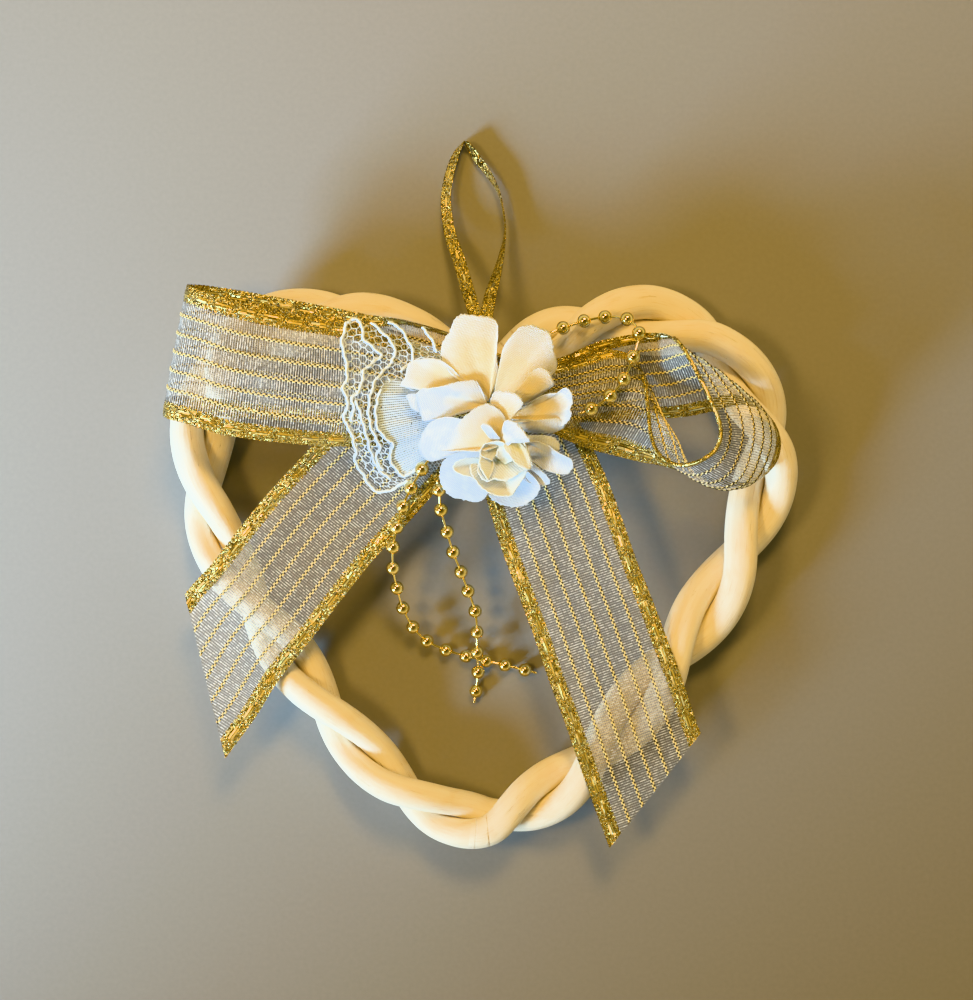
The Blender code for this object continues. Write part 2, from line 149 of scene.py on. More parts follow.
# The loops are one strip: edge to the top of the view, middle, other edge
LOOP_ROWS = [
    ((505, 362, 20.0), (507, 388, 19.6), (505, 414, 20.0)),
    ((455, 338, 19.8), (458, 384, 19.5), (452, 418, 19.8)),
    ((400, 322, 19.4), (402, 375, 19.2), (396, 424, 19.4)),
    ((342, 310, 18.9), (340, 367, 18.8), (334, 425, 18.9)),
    ((290, 300, 18.5), (285, 358, 18.5), (279, 420, 18.5)),
    ((240, 291, 18.5), (230, 351, 18.5), (222, 416, 18.5)),
    ((206, 286, 19.4), (196, 347, 19.2), (186, 412, 19.2)),
    ((191, 285, 21.6), (180, 348, 21.4), (169, 412, 21.2)),
    ((187, 285, 24.6), (174, 350, 24.6), (163, 414, 24.6)),
    ((191, 287, 27.6), (178, 353, 27.8), (167, 418, 28.0)),
    ((206, 293, 29.4), (197, 358, 29.8), (186, 423, 29.8)),
    ((240, 302.5, 29.6), (232, 370, 30.6), (222, 434, 29.6)),
    ((290, 313, 28.4), (286, 380, 29.8), (279, 442, 28.0)),
    ((342, 321, 26.4), (342, 387, 28.0), (335, 446, 25.6)),
    ((395, 336, 24.2), (399, 392, 25.4), (392, 444, 23.6)),
    ((445, 352, 22.4), (450, 395, 22.8), (445, 434, 22.2)),
    ((490, 362, 21.6), (492, 394, 21.6), (490, 424, 21.6)),
    ((526, 364, 21.6), (530, 392, 21.2), (532, 416, 21.0)),
    ((560, 358, 21.9), (568, 392, 20.6), (574, 422, 19.9)),
    ((598, 342, 22.2), (608, 382, 20.4), (614, 420, 19.0)),
    ((630, 335, 22.8), (642, 375, 20.6), (650, 418, 18.6)),
    ((652, 333, 27.0), (668, 372, 24.4), (680, 417, 18.6)),
    ((670, 336, 33.0), (693, 368, 27.6), (710, 412, 18.6)),
    ((684, 348, 38.0), (718, 371, 30.2), (739, 405, 18.8)),
    ((699, 374, 41.4), (737, 386, 32.2), (762, 410, 19.0)),
    ((713, 402, 43.0), (752, 407, 33.6), (776, 425, 19.4)),
    ((722, 428, 43.4), (758, 432, 34.0), (781, 445, 19.8)),
    ((718, 448, 43.2), (753, 459, 33.4), (775, 465, 19.8)),
    ((705, 460, 42.4), (743, 480, 32.4), (758, 480, 19.4)),
    ((688, 466, 40.6), (726, 489, 31.0), (736, 482, 19.0)),
    ((672, 464, 37.6), (705, 485, 29.4), (712, 478, 18.8)),
    ((659, 453, 34.2), (690, 470, 27.6), (688, 473, 18.8)),
    ((652, 433, 31.2), (679, 444, 26.6), (662, 466, 18.8)),
    ((649, 408, 28.6), (664, 422, 25.6), (640, 462, 18.9)),
    ((645, 381, 26.4), (650, 404, 25.2), (620, 457, 19.2)),
    ((635, 358, 24.6), (634, 394, 25.2), (601, 452, 19.8)),
    ((610, 350, 24.0), (610, 391, 24.8), (582, 446, 20.8)),
    ((582, 359, 23.8), (582, 394, 23.8), (563, 438, 21.8)),
    ((552, 367, 23.4), (552, 397, 23.2), (545, 429, 22.6)),
    ((520, 373, 23.2), (520, 397, 23.2), (518, 420, 23.2)),
]

# Rows of the loops between which their first border stands off the face: 1 up, -1 down
LOOP_CURL = [(0, 1), (1.9, 1), (2.5, 0), (21, 0), (22.3, -1), (34.3, -1), (35.6, 0)]

# Bead strings: (x, y, height) of the thread's start, of each bead and of the thread's end
BEAD_STRAND_LEFT = [
    (430, 458, 25.0), (422, 469, 24.2), (411, 488, 22.8), (403, 506, 21.6), (397, 527, 20.8),
    (393, 547, 19.6), (393, 568, 16.6), (397, 588, 12.8), (403, 608, 9.0), (413, 627, 5.6),
    (427, 641, 3.4), (446, 650, 2.3), (466, 656, 1.8), (486, 661, 1.7), (505, 665, 1.7),
    (525, 670, 1.7), (537, 673, 1.7),
]
BEAD_STRAND_MIDDLE = [
    (437, 480, 23.6), (439, 490, 22.8), (441, 510, 21.2), (447, 532, 19.2), (453, 552, 17.0),
    (461, 572, 14.6), (468, 591, 12.2), (475, 611, 9.6), (477, 632, 7.2), (477, 652, 5.4),
    (478, 672, 3.4), (476, 691, 1.8), (474, 703, 1.7),
]
BEAD_LOOP = [
    (550, 333, 19.6), (563, 328, 19.4), (584, 321, 19.4), (605, 317, 20.2), (627, 319, 23.8),
    (639, 333, 27.2), (633, 357, 28.8), (624, 379, 28.8), (610, 396, 28.4), (591, 409, 28.0),
    (578, 414, 28.0),
]

# Hanging loop: middle of the tape with the tape's lean from flat, in degrees
HANGING_LOOP = [
    (476, 330, 18.2, 0), (474, 312, 16.6, 0), (467, 288, 12.2, 5), (459, 260, 7.6, 12),
    (451, 238, 4.8, 22), (447, 216, 3.4, 32), (446, 196, 2.8, 38), (449, 176, 2.5, 42),
    (455, 157, 2.3, 50), (460, 147, 2.2, 68), (464.5, 142.5, 2.1, 90), (469, 147, 2.2, 112),
    (478, 160, 2.3, 122), (490, 176, 2.5, 112), (499, 193, 2.7, 96), (504, 215, 3.0, 90),
    (505, 232, 3.6, 94), (502, 251, 5.2, 110), (497, 272, 8.6, 132), (491, 293, 12.6, 156),
    (487, 312, 16.4, 172), (485, 330, 18.4, 180),
]

# Lace: the gathered edge and the scalloped edge, from top to bottom
LACE_GATHERED = [(447, 352, 24.0), (452, 396, 24.3), (450, 440, 23.7), (447, 462, 21.6)]
LACE_OUTER = [
    (350, 319, 28.0), (342, 345, 29.0), (344, 378, 29.7), (346, 410, 29.0),
    (352, 440, 27.4), (362, 464, 23.0), (378, 486, 20.8), (410, 488, 20.6),
]
LACE_DEPTH_MM = 24.0
LACE_LENGTH_MM = 44.0
LACE_WAVES = 3.5
LACE_GATHERS = 11
LACE_WAVE_MM = 0.35
NET_CELL_MM = 1.02
NET_THREAD_MM = 0.23
OUTLINE_THREAD_MM = 0.36

# Thick outline threads of the lace, as (x, y) of the view, and the outline of its dense motif
LACE_OUTLINES = [
    [(347, 322), (342, 343), (346, 360), (347, 378), (343, 390), (348, 401), (344, 419), (350, 430),
     (356, 452), (355, 461), (363, 474), (373, 489), (384, 492), (395, 488), (408, 480)],
    [(347, 322), (354, 319), (361, 323), (364, 339), (374, 348), (381, 356), (371, 364), (364, 371),
     (362, 383), (358, 392), (352, 399), (354, 410), (350, 421)],
    [(371, 322), (381, 331), (393, 344), (395, 354), (393, 360), (384, 371), (376, 380), (370, 398),
     (369, 416), (373, 432), (380, 447), (376, 458), (383, 470)],
    [(388, 322), (399, 327), (406, 337), (413, 352), (412, 361), (401, 371)],
    [(422, 327), (429, 335), (434, 344), (437, 352)],
    [(381, 389), (376, 408), (378, 428), (386, 438), (393, 445), (390, 457), (396, 469), (405, 476),
     (414, 470), (419, 464)],
    [(356, 400), (361, 416), (366, 434), (371, 452), (378, 468), (390, 479)],
]
LACE_FILM = [(390, 318), (452, 318), (452, 352), (436, 362), (420, 360), (410, 338)]
LACE_MOTIF = [
    (388, 377), (380, 391), (376, 409), (379, 428), (393, 445), (390, 457), (397, 470), (406, 476),
    (419, 464), (440, 455), (440, 396), (414, 388), (400, 380),
]

# Petals: (foot, rise of the middle in mm, wave of the rim in mm, reach of the painted warm shade, rim)
BACK_PETALS = [
    ((488, 401, 27.6), 1.3, 0.12, 0.86, [
        (476, 392, 28.6), (464, 378, 30.0), (450, 372, 31.0), (443, 362, 31.4), (441, 350, 31.8),
        (444, 340, 32.3), (450, 331, 32.7), (453, 322, 33.0), (459, 315, 33.2), (468, 314, 33.3),
        (480, 316, 33.4), (491, 317, 33.4), (497, 323, 33.4), (498, 334, 33.6), (497, 347, 33.4),
        (497, 359, 32.6), (498, 370, 31.4), (495, 386, 29.4)]),
    ((493, 402, 27.8), 1.2, 0.12, 0.80, [
        (497, 386, 29.6), (499, 369, 31.2), (502, 362, 32.0), (503, 349, 33.2), (508, 340, 33.8),
        (514, 333, 34.2), (521, 327, 34.4), (530, 325, 34.2), (540, 328, 33.8), (549, 332, 33.4),
        (552, 340, 33.4), (554, 350, 33.0), (556, 359, 32.2), (557, 366, 31.4), (554, 373, 31.0),
        (542, 382, 30.4), (522, 394, 29.4)]),
    ((500, 406, 28.6), 1.5, 0.15, 0.85, [
        (511, 398, 29.8), (521, 390, 31.4), (528, 379, 33.4), (533, 371, 35.0), (540, 368, 35.8),
        (547, 370, 36.0), (552, 378, 35.6), (554, 384, 34.6), (546, 391, 32.6), (535, 399, 30.8),
        (522, 405, 29.6), (511, 408, 28.8)]),
    ((502, 416, 28.8), -1.9, 0.3, 0.8, [
        (514, 412, 29.4), (521, 408, 30.4), (533, 400, 32.6), (547, 394, 34.6), (558, 393, 35.8),
        (566, 388, 37.0), (571, 393, 37.6), (573, 401, 37.6), (570, 409, 37.2), (571, 415, 36.4),
        (566, 423, 35.0), (558, 426, 33.6), (550, 421, 33.2), (541, 422, 32.2), (530, 420, 31.2),
        (514, 420, 29.8)]),
    ((504, 422, 28.4), 1.4, 0.2, 0.5, [
        (514, 419, 29.4), (530, 420, 31.0), (542, 423, 32.0), (551, 421, 33.0), (558, 418, 33.8),
        (565, 425, 33.6), (558, 431, 32.4), (546, 433, 31.2), (530, 432, 30.0), (515, 429, 29.0)]),
    ((482, 396, 27.4), 0.6, 0.2, 0.85, [
        (470, 386, 29.0), (461, 378, 30.6), (447, 364, 31.8), (437, 359, 32.2), (423, 359, 32.2),
        (412, 361, 31.8), (408, 367, 31.4), (404, 378, 30.8), (401, 385, 30.2), (412, 388, 29.6),
        (430, 391, 29.2), (456, 396, 28.4), (470, 400, 27.8)]),
    ((470, 404, 27.6), 0.4, 0.2, 0.4, [
        (440, 396, 29.8), (420, 394, 30.0), (407, 395, 29.8), (409, 402, 29.4), (412, 408, 29.0),
        (419, 412, 28.6), (436, 414, 28.4), (452, 412, 28.2)]),
    ((486, 404, 28.4), 0.9, 0.2, 0.45, [
        (487, 398, 29.4), (482, 390, 31.0), (476, 381, 31.8), (466, 381, 32.2), (457, 382, 32.4),
        (445, 385, 32.4), (433, 387, 32.0), (420, 389, 31.6), (417, 397, 31.0), (420, 408, 30.2),
        (424, 421, 29.4), (433, 419, 29.8), (450, 416, 30.2), (461, 411, 30.2), (474, 409, 29.4)]),
]
FRONT_PETALS = [
    ((494, 440, 31.0), 1.2, 0.2, 0.3, [
        (480, 428, 32.4), (461, 419, 33.0), (447, 417, 32.4), (433, 421, 31.2), (426, 428, 30.2),
        (421, 438, 29.2), (419, 447, 28.4), (423, 456, 27.8), (431, 461, 27.8), (437, 459, 28.4),
        (444, 456, 29.4), (460, 458, 30.0), (478, 458, 30.4)]),
    ((504, 444, 34.4), 0.9, 0.2, 0.75, [
        (508, 430, 35.8), (504, 416, 37.2), (496, 407, 38.0), (485, 404, 38.4), (474, 410, 38.6),
        (461, 421, 38.4), (450, 435, 37.4), (440, 446, 36.0), (437, 450, 35.4), (446, 451, 35.8),
        (461, 451, 36.4), (476, 452, 36.6), (488, 450, 35.8)]),
    ((498, 432, 33.6), 0.7, 0.15, 0.8, [
        (493, 420, 35.2), (490, 408, 36.8), (491, 398, 37.8), (495, 391, 38.2), (504, 391, 38.6),
        (513, 393, 38.8), (520, 397, 38.8), (523, 402, 38.4), (521, 407, 37.8), (515, 412, 36.8),
        (508, 420, 35.6)]),
    ((500, 442, 35.2), 0.8, 0.2, 0.4, [
        (502, 430, 37.0), (506, 421, 38.4), (514, 422, 39.2), (521, 428, 39.6), (527, 435, 39.6),
        (531, 441, 39.0), (522, 441, 38.4), (514, 442, 37.6), (508, 446, 36.6)]),
    ((506, 446, 31.2), 0.6, 0.2, 0.55, [
        (516, 440, 32.0), (527, 436, 32.8), (542, 435, 33.4), (552, 437, 33.6), (558, 441, 33.4),
        (560, 448, 33.0), (553, 454, 32.4), (538, 456, 31.8), (520, 455, 31.4)]),
    ((506, 450, 30.8), -0.8, 0.2, 0.3, [
        (520, 444, 33.0), (536, 442, 34.2), (549, 446, 34.6), (560, 453, 34.4), (572, 461, 33.6),
        (573, 467, 32.6), (568, 473, 31.6), (554, 473, 31.2), (544, 470, 31.0), (535, 463, 31.0),
        (522, 458, 30.8)]),
    ((502, 458, 30.0), -0.6, 0.2, 0.15, [
        (516, 456, 31.2), (529, 462, 31.4), (540, 469, 31.2), (550, 480, 30.4), (548, 485, 29.4),
        (537, 485, 28.8), (525, 481, 28.8), (512, 470, 29.2)]),
    ((504, 458, 29.6), -0.8, 0.2, 0.2, [
        (520, 466, 30.0), (532, 475, 30.0), (540, 486, 29.6), (537, 495, 28.6), (528, 503, 27.4),
        (516, 507, 26.8), (502, 505, 26.4), (491, 498, 26.8), (486, 488, 28.0), (490, 472, 29.2)]),
    ((492, 456, 29.4), 1.3, 0.2, 0.2, [
        (476, 450, 30.2), (461, 453, 30.2), (449, 456, 29.2), (442, 464, 28.0), (440, 475, 27.0),
        (443, 487, 26.2), (451, 496, 25.8), (461, 499, 26.0), (471, 501, 26.4), (480, 501, 27.0),
        (487, 495, 27.8), (490, 484, 28.8), (494, 470, 29.4)]),
    ((503, 450, 33.4), 0.5, 0.15, 0.3, [
        (494, 440, 35.6), (486, 430, 37.6), (481, 425, 38.6), (487, 424, 39.0), (494, 431, 38.6),
        (500, 437, 37.6)]),
]
HEART_PETALS = [
    ((505, 464, 33.2), 0.4, 0.1, 0.3, [
        (496, 456, 35.2), (498, 449, 35.6), (504, 445, 35.8), (510, 447, 36.0), (513, 454, 36.2),
        (512, 461, 35.8)]),
    ((492, 466, 31.0), -0.7, 0.15, 0.2, [
        (480, 458, 33.0), (468, 458, 34.2), (456, 462, 34.4), (453, 468, 34.0), (460, 474, 33.8),
        (472, 477, 33.6), (484, 475, 32.6)]),
    ((500, 466, 30.6), -1.2, 0.25, 0.3, [
        (484, 464, 33.0), (471, 464, 34.0), (472, 476, 34.4), (478, 484, 34.4), (486, 490, 34.4),
        (499, 495, 34.6), (511, 496, 34.8), (517, 488, 35.0), (524, 477, 35.4), (528, 469, 35.6)]),
    ((503, 462, 31.5), -1.8, 0.25, 0.45, [
        (488, 452, 35.0), (480, 461, 35.4), (478, 472, 35.6), (485, 482, 35.6), (495, 479, 35.4),
        (505, 480, 35.6), (519, 474, 36.0), (527, 469, 36.2), (528, 458, 36.0)]),
    ((492, 458, 33.5), 0.5, 0.15, 0.2, [
        (487, 450, 36.0), (482, 452, 36.0), (479, 461, 36.4), (482, 470, 36.6), (487, 480, 36.6),
        (492, 474, 36.2), (494, 464, 35.4)]),
    ((512, 438, 35.0), 0.8, 0.15, 0.6, [
        (503, 443, 36.6), (505, 450, 37.2), (511, 458, 37.6), (517, 465, 37.8), (524, 468, 37.8),
        (530, 469, 37.4), (530, 460, 37.2), (527, 450, 37.0), (520, 441, 36.4)]),
    ((508, 440, 33.0), 0.6, 0.15, 0.5, [
        (516, 438, 36.0), (524, 442, 36.6), (529, 450, 36.8), (531, 460, 36.6), (531, 468, 36.2),
        (526, 470, 35.8), (520, 460, 35.6)]),
    ((500, 452, 33.0), 0.9, 0.2, 0.3, [
        (508, 446, 36.4), (502, 442, 37.2), (494, 441, 37.4), (485, 445, 37.0), (479, 452, 36.6),
        (484, 458, 36.2), (492, 460, 35.6)]),
]


# Places and curves

def seen(x, y, height):
    """The point at a height in mm that the reference view shows at pixel (x, y), in metres."""
    nearer = (EYE_HEIGHT_MM - height) / (EYE_HEIGHT_MM - FRAME_MIDDLE_MM)
    across = (x - VIEW_CENTRE_PX[0]) * nearer + VIEW_CENTRE_PX[0] - ORIGIN_PX[0]
    up = (VIEW_CENTRE_PX[1] - y) * nearer + ORIGIN_PX[1] - VIEW_CENTRE_PX[1]
    return np.array((across * PIXEL_MM, up * PIXEL_MM, height)) * MM


def all_seen(spots):
    return np.array([seen(*spot) for spot in spots])


def in_view(points):
    """Pixels of the reference view that show these points."""
    millimetres = np.asarray(points) / MM
    nearer = (EYE_HEIGHT_MM - millimetres[..., 2]) / (EYE_HEIGHT_MM - FRAME_MIDDLE_MM)
    x = (millimetres[..., 0] / PIXEL_MM + ORIGIN_PX[0] - VIEW_CENTRE_PX[0]) / nearer + VIEW_CENTRE_PX[0]
    y = VIEW_CENTRE_PX[1] - (millimetres[..., 1] / PIXEL_MM - ORIGIN_PX[1] + VIEW_CENTRE_PX[1]) / nearer
    return np.stack((x, y), axis=-1)


def unit(vectors):
    return vectors / np.maximum(np.linalg.norm(vectors, axis=-1, keepdims=True), 1e-12)


def lengths_along(points):
    steps = np.linalg.norm(np.diff(points, axis=0), axis=1)
    return np.concatenate(([0.0], np.cumsum(steps)))


def smooth_through(points, knots, at):
    """A smooth curve through points at their knots, read at many values of the knot."""
    points, knots, at = (np.asarray(values, float) for values in (points, knots, at))
    last = len(points) - 1
    span = np.clip(np.searchsorted(knots, at, side="right") - 1, 0, last - 1)
    before, after = np.maximum(span - 1, 0), np.minimum(span + 2, last)
    start, end = points[span], points[span + 1]
    width = (knots[span + 1] - knots[span])[..., None]
    leave = (end - points[before]) / (knots[span + 1] - knots[before])[..., None]
    reach = (points[after] - start) / (knots[after] - knots[span])[..., None]
    t = (at - knots[span])[..., None] / width
    return (
        start * (2 * t**3 - 3 * t**2 + 1)
        + leave * width * (t**3 - 2 * t**2 + t)
        + end * (3 * t**2 - 2 * t**3)
        + reach * width * (t**3 - t**2)
    )


def evenly(points, step):
    """Points on the smooth curve through these, about one step apart."""
    knots = lengths_along(points)
    count = max(2, int(round(knots[-1] / step)) + 1)
    return smooth_through(points, knots, np.linspace(0.0, knots[-1], count))


# Meshes

def linked(name, data):
    """A new object of the scene that holds this data."""
    made = bpy.data.objects.new(name, data)
    bpy.context.scene.collection.objects.link(made)
    return made


def finished(name, mesh, paint, stands_for=None):
    """A piece from its mesh, riding on the body and the solid that it replaces."""
    mesh.shade_smooth()
    mesh.materials.append(paint)
    made = linked(name, mesh)
    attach(made, BODY)
    if stands_for:
        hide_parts(stands_for)
    return made


def mesh_of(name, shape):
    mesh = bpy.data.meshes.new(name)
    shape.to_mesh(mesh)
    shape.free()
    return mesh


def values_of(items, label, size, kind=float):
    """One value of each item of a mesh, as rows."""
    flat = np.empty(len(items) * size, dtype=kind)
    items.foreach_get(label, flat)
    return flat.reshape(-1, size)


def surface_mesh(name, columns, rows, place, flat=(1.0, 1.0), marks=None):
    """A grid laid out by place(across, along), arrays from 0 to 1. Its UV map is that grid at a
    size, or what the function flat(across, along) gives; marks are its named point values."""
    grid = bmesh.new()
    grid.loops.layers.uv.new("UVMap")
    bmesh.ops.create_grid(grid, x_segments=columns, y_segments=rows, size=0.5, calc_uvs=True)
    mesh = mesh_of(name, grid)
    across, along, _ = np.clip(values_of(mesh.vertices, "co", 3) + 0.5, 0, 1).T
    corners = values_of(mesh.loops, "vertex_index", 1, np.int32)[:, 0]
    spots = flat(across, along) if callable(flat) else np.stack((across * flat[0], along * flat[1]), axis=1)
    mesh.uv_layers[0].data.foreach_set("uv", spots[corners].astype(np.float32).ravel())
    mesh.vertices.foreach_set("co", place(across, along).astype(np.float32).ravel())
    for label, mark in (marks or {}).items():
        values = mark(across, along).astype(np.float32)
        mesh.attributes.new(label, "FLOAT", "POINT").data.foreach_set("value", values)
    mesh.update()
    return mesh


def sealed(mesh, caps=False):
    """The same mesh with its seam merged and, if asked, its open ends closed."""
    seam = bmesh.new()
    seam.from_mesh(mesh)
    bmesh.ops.remove_doubles(seam, verts=seam.verts, dist=1e-7)
    if caps:
        bmesh.ops.holes_fill(seam, edges=[edge for edge in seam.edges if edge.is_boundary], sides=0)
    bmesh.ops.recalc_face_normals(seam, faces=seam.faces)
    seam.to_mesh(mesh)
    seam.free()
    return mesh


def together(name, meshes):
    """Several meshes as one."""
    whole = bmesh.new()
    for mesh in meshes:
        whole.from_mesh(mesh)
        bpy.data.meshes.remove(mesh)
    return mesh_of(name, whole)


def tube_mesh(name, path, radius, sides, long=None):
    """A round tube with capped ends along a path, with lengths in mm in its UV map."""
    rings = len(path)
    tangents = unit(np.gradient(path, axis=0))
    turned = [np.cross(tangents[0], (0.0, 0.0, 1.0))]
    for tangent in tangents:
        turned.append(unit(turned[-1] - tangent * np.dot(turned[-1], tangent)))
    side = np.array(turned[1:])
    up = np.cross(tangents, side)
    length = long or lengths_along(path)[-1] / MM
    radii = np.broadcast_to(radius, rings)

    def place(across, along):
        ring = np.rint(along * (rings - 1)).astype(int)
        turn = 2 * np.pi * across
        out = side[ring] * np.cos(turn)[:, None] + up[ring] * np.sin(turn)[:, None]
        return path[ring] + out * radii[ring][:, None]

    mesh = surface_mesh(name, sides, rings - 1, place, (2 * math.pi * radii.mean() / MM, length))
    return sealed(mesh, caps=True)


# Node building

def fill(made, values):
    """Links a node's inputs to values of its tree, or gives them plain ones."""
    for key, value in values.items():
        if isinstance(value, Value):
            value.tree.links.new(value.socket, made.inputs[key])
        else:
            made.inputs[key].default_value = value


def node(tree, kind, output, values=None, **settings):
    """One output of a new node with these settings and inputs."""
    made = tree.nodes.new(kind)
    for name, value in settings.items():
        setattr(made, name, value)
    fill(made, values or {})
    return Value(tree, made.outputs[output])


class Value:
    """A socket of a node tree, reckoned with as if it were a number."""

    def __init__(self, tree, socket):
        self.tree = tree
        self.socket = socket

    def reckoned(self, operation, *others):
        values = dict(enumerate((self, *others)))
        return node(self.tree, "ShaderNodeMath", 0, values, operation=operation)

    def apart(self, middle):
        return (self - middle).reckoned("ABSOLUTE")

    def eased(self, low, high, out_low=0.0, out_high=1.0):
        """A smooth step of the value between two limits."""
        limits = {0: self, 1: low, 2: high, 3: out_low, 4: out_high}
        return node(self.tree, "ShaderNodeMapRange", 0, limits, interpolation_type="SMOOTHSTEP")

    def rows(self, pitch, solid, gone):
        """1 on threads a pitch apart and 0 between them, by the share of a pitch from their middle."""
        return (self / pitch).fract().apart(0.5).eased(solid, gone, 1.0, 0.0)

    def blend(self, low, high):
        """The colour that is this share of the way between two."""
        return node(self.tree, "ShaderNodeMix", 2, {0: self, 6: low, 7: high}, data_type="RGBA")

    def between(self, low, high):
        """The number that is this share of the way between two."""
        return node(self.tree, "ShaderNodeMix", 0, {0: self, 2: low, 3: high}, data_type="FLOAT")

    def split(self, kind="XYZ"):
        """The three parts of a vector or colour."""
        first = node(self.tree, "ShaderNodeSeparate" + kind, 0, {0: self})
        return [Value(self.tree, socket) for socket in first.socket.node.outputs]

    def vector(self, operation, values):
        return node(self.tree, "ShaderNodeVectorMath", 0, {0: self, **values}, operation=operation)

    def chance(self, row, output=0):
        """A random number for each column and row, or a random colour as output 1."""
        key = node(self.tree, "ShaderNodeCombineXYZ", 0, {0: self, 1: row})
        return node(self.tree, "ShaderNodeTexWhiteNoise", output, {0: key})

    def noise(self, scale, detail, rough=0.5):
        values = {"Vector": self, "Scale": scale, "Detail": detail, "Roughness": rough}
        return node(self.tree, "ShaderNodeTexNoise", 0, values)

    def bump(self, strength, distance, **more):
        values = {"Strength": strength, "Distance": distance, "Height": self, **more}
        return node(self.tree, "ShaderNodeBump", 0, values)


for method, operation in (
    ("__add__", "ADD"), ("__sub__", "SUBTRACT"), ("__mul__", "MULTIPLY"), ("__truediv__", "DIVIDE"),
    ("__gt__", "GREATER_THAN"), ("__lt__", "LESS_THAN"), ("most", "MAXIMUM"), ("least", "MINIMUM"),
    ("floor", "FLOOR"), ("fract", "FRACT"),
):
    setattr(Value, method, partialmethod(Value.reckoned, operation))


def attribute(tree, name, output="Fac"):
    return node(tree, "ShaderNodeAttribute", output, attribute_name=name)


def own_place(tree, output="Object"):
    return node(tree, "ShaderNodeTexCoord", output)


def flat_place(tree):
    return node(tree, "ShaderNodeUVMap", 0, uv_map="UVMap")


def new_paint(name, **plain):
    """A material with its node tree, its Principled shader and that shader's plain values."""
    paint = bpy.data.materials.new(name)
    paint.use_nodes = True
    shader = paint.node_tree.nodes["Principled BSDF"]
    fill(shader, {label.replace("_", " "): value for label, value in plain.items()})
    return paint, paint.node_tree, shader


# Shared effects

def metal_weave_group():
    """Flat metal yarns woven over thread: each float has its own tilt and a painted brightness, the gaps
    between yarns are painted shade and a few floats carry a painted glint.
    """
    group = bpy.data.node_groups.new("metal_weave", "ShaderNodeTree")
    for label, kind, default in (
        ("Place", "Vector", None), ("Yarn mm", "Float", 0.4), ("Pick mm", "Float", 0.7),
        # Shadow is painted shade between the yarns; Bright is the colour of painted glints.
        ("Float", "Float", 0.0), ("Tilt", "Float", 0.5), ("Shadow", "Color", (0.03, 0.018, 0.003, 1)),
        ("Gold", "Color", (0.95, 0.76, 0.30, 1)), ("Bright", "Color", (1.0, 1.0, 0.78, 1)),
    ):
        socket = group.interface.new_socket(label, in_out="INPUT", socket_type="NodeSocket" + kind)
        if default is not None:
            socket.default_value = default
    outputs = {"Color": "Color", "Normal": "Vector", "Height": "Float", "Roughness": "Float"}
    for label, kind in outputs.items():
        group.interface.new_socket(label, in_out="OUTPUT", socket_type="NodeSocket" + kind)
    entry = group.nodes.new("NodeGroupInput").outputs
    place, yarn_mm, pick_mm, floats, tilt, shadow, gold, painted_glint, _ = (Value(group, given) for given in entry)

    across, along, _ = place.split()
    yarn = across / (yarn_mm * (floats + 1.0))
    row = yarn.floor()
    pick = along / pick_mm + row * 0.5
    chance = row.chance(floats.between(pick.floor(), (pick / 7.0).floor()), 1)
    tint = chance.split("Color")
    round_side = yarn.fract().apart(0.5).eased(0.26, 0.5, 1.0, 0.0)
    ends = pick.fract().apart(0.5).eased(0.24, 0.46, 1.0, 0.0)
    cover = round_side * ends.most(floats)
    # Painted glints: a few random floats take the bright colour.
    metal = tint[1].eased(0.72, 0.95).blend(gold, painted_glint)
    # Painted light and shade: each float gets a random brightness and the gaps between yarns fall to the
    # shadow colour.
    painted_light = tint[0].eased(0.0, 0.55, 0.22, 1.0) * cover
    lean = chance.vector("SUBTRACT", {1: (0.5, 0.5, 0.5)}).vector("SCALE", {"Scale": tilt})
    bent = node(group, "ShaderNodeNewGeometry", "Normal").vector("ADD", {1: lean})
    fill(group.nodes.new("NodeGroupOutput"), {
        "Color": painted_light.blend(shadow, metal), "Normal": bent.vector("NORMALIZE", {}), "Height": cover,
        "Roughness": tint[2].eased(0.0, 1.0, 0.2, 0.42),
    })
    return group


METAL_WEAVE = metal_weave_group()


# Materials

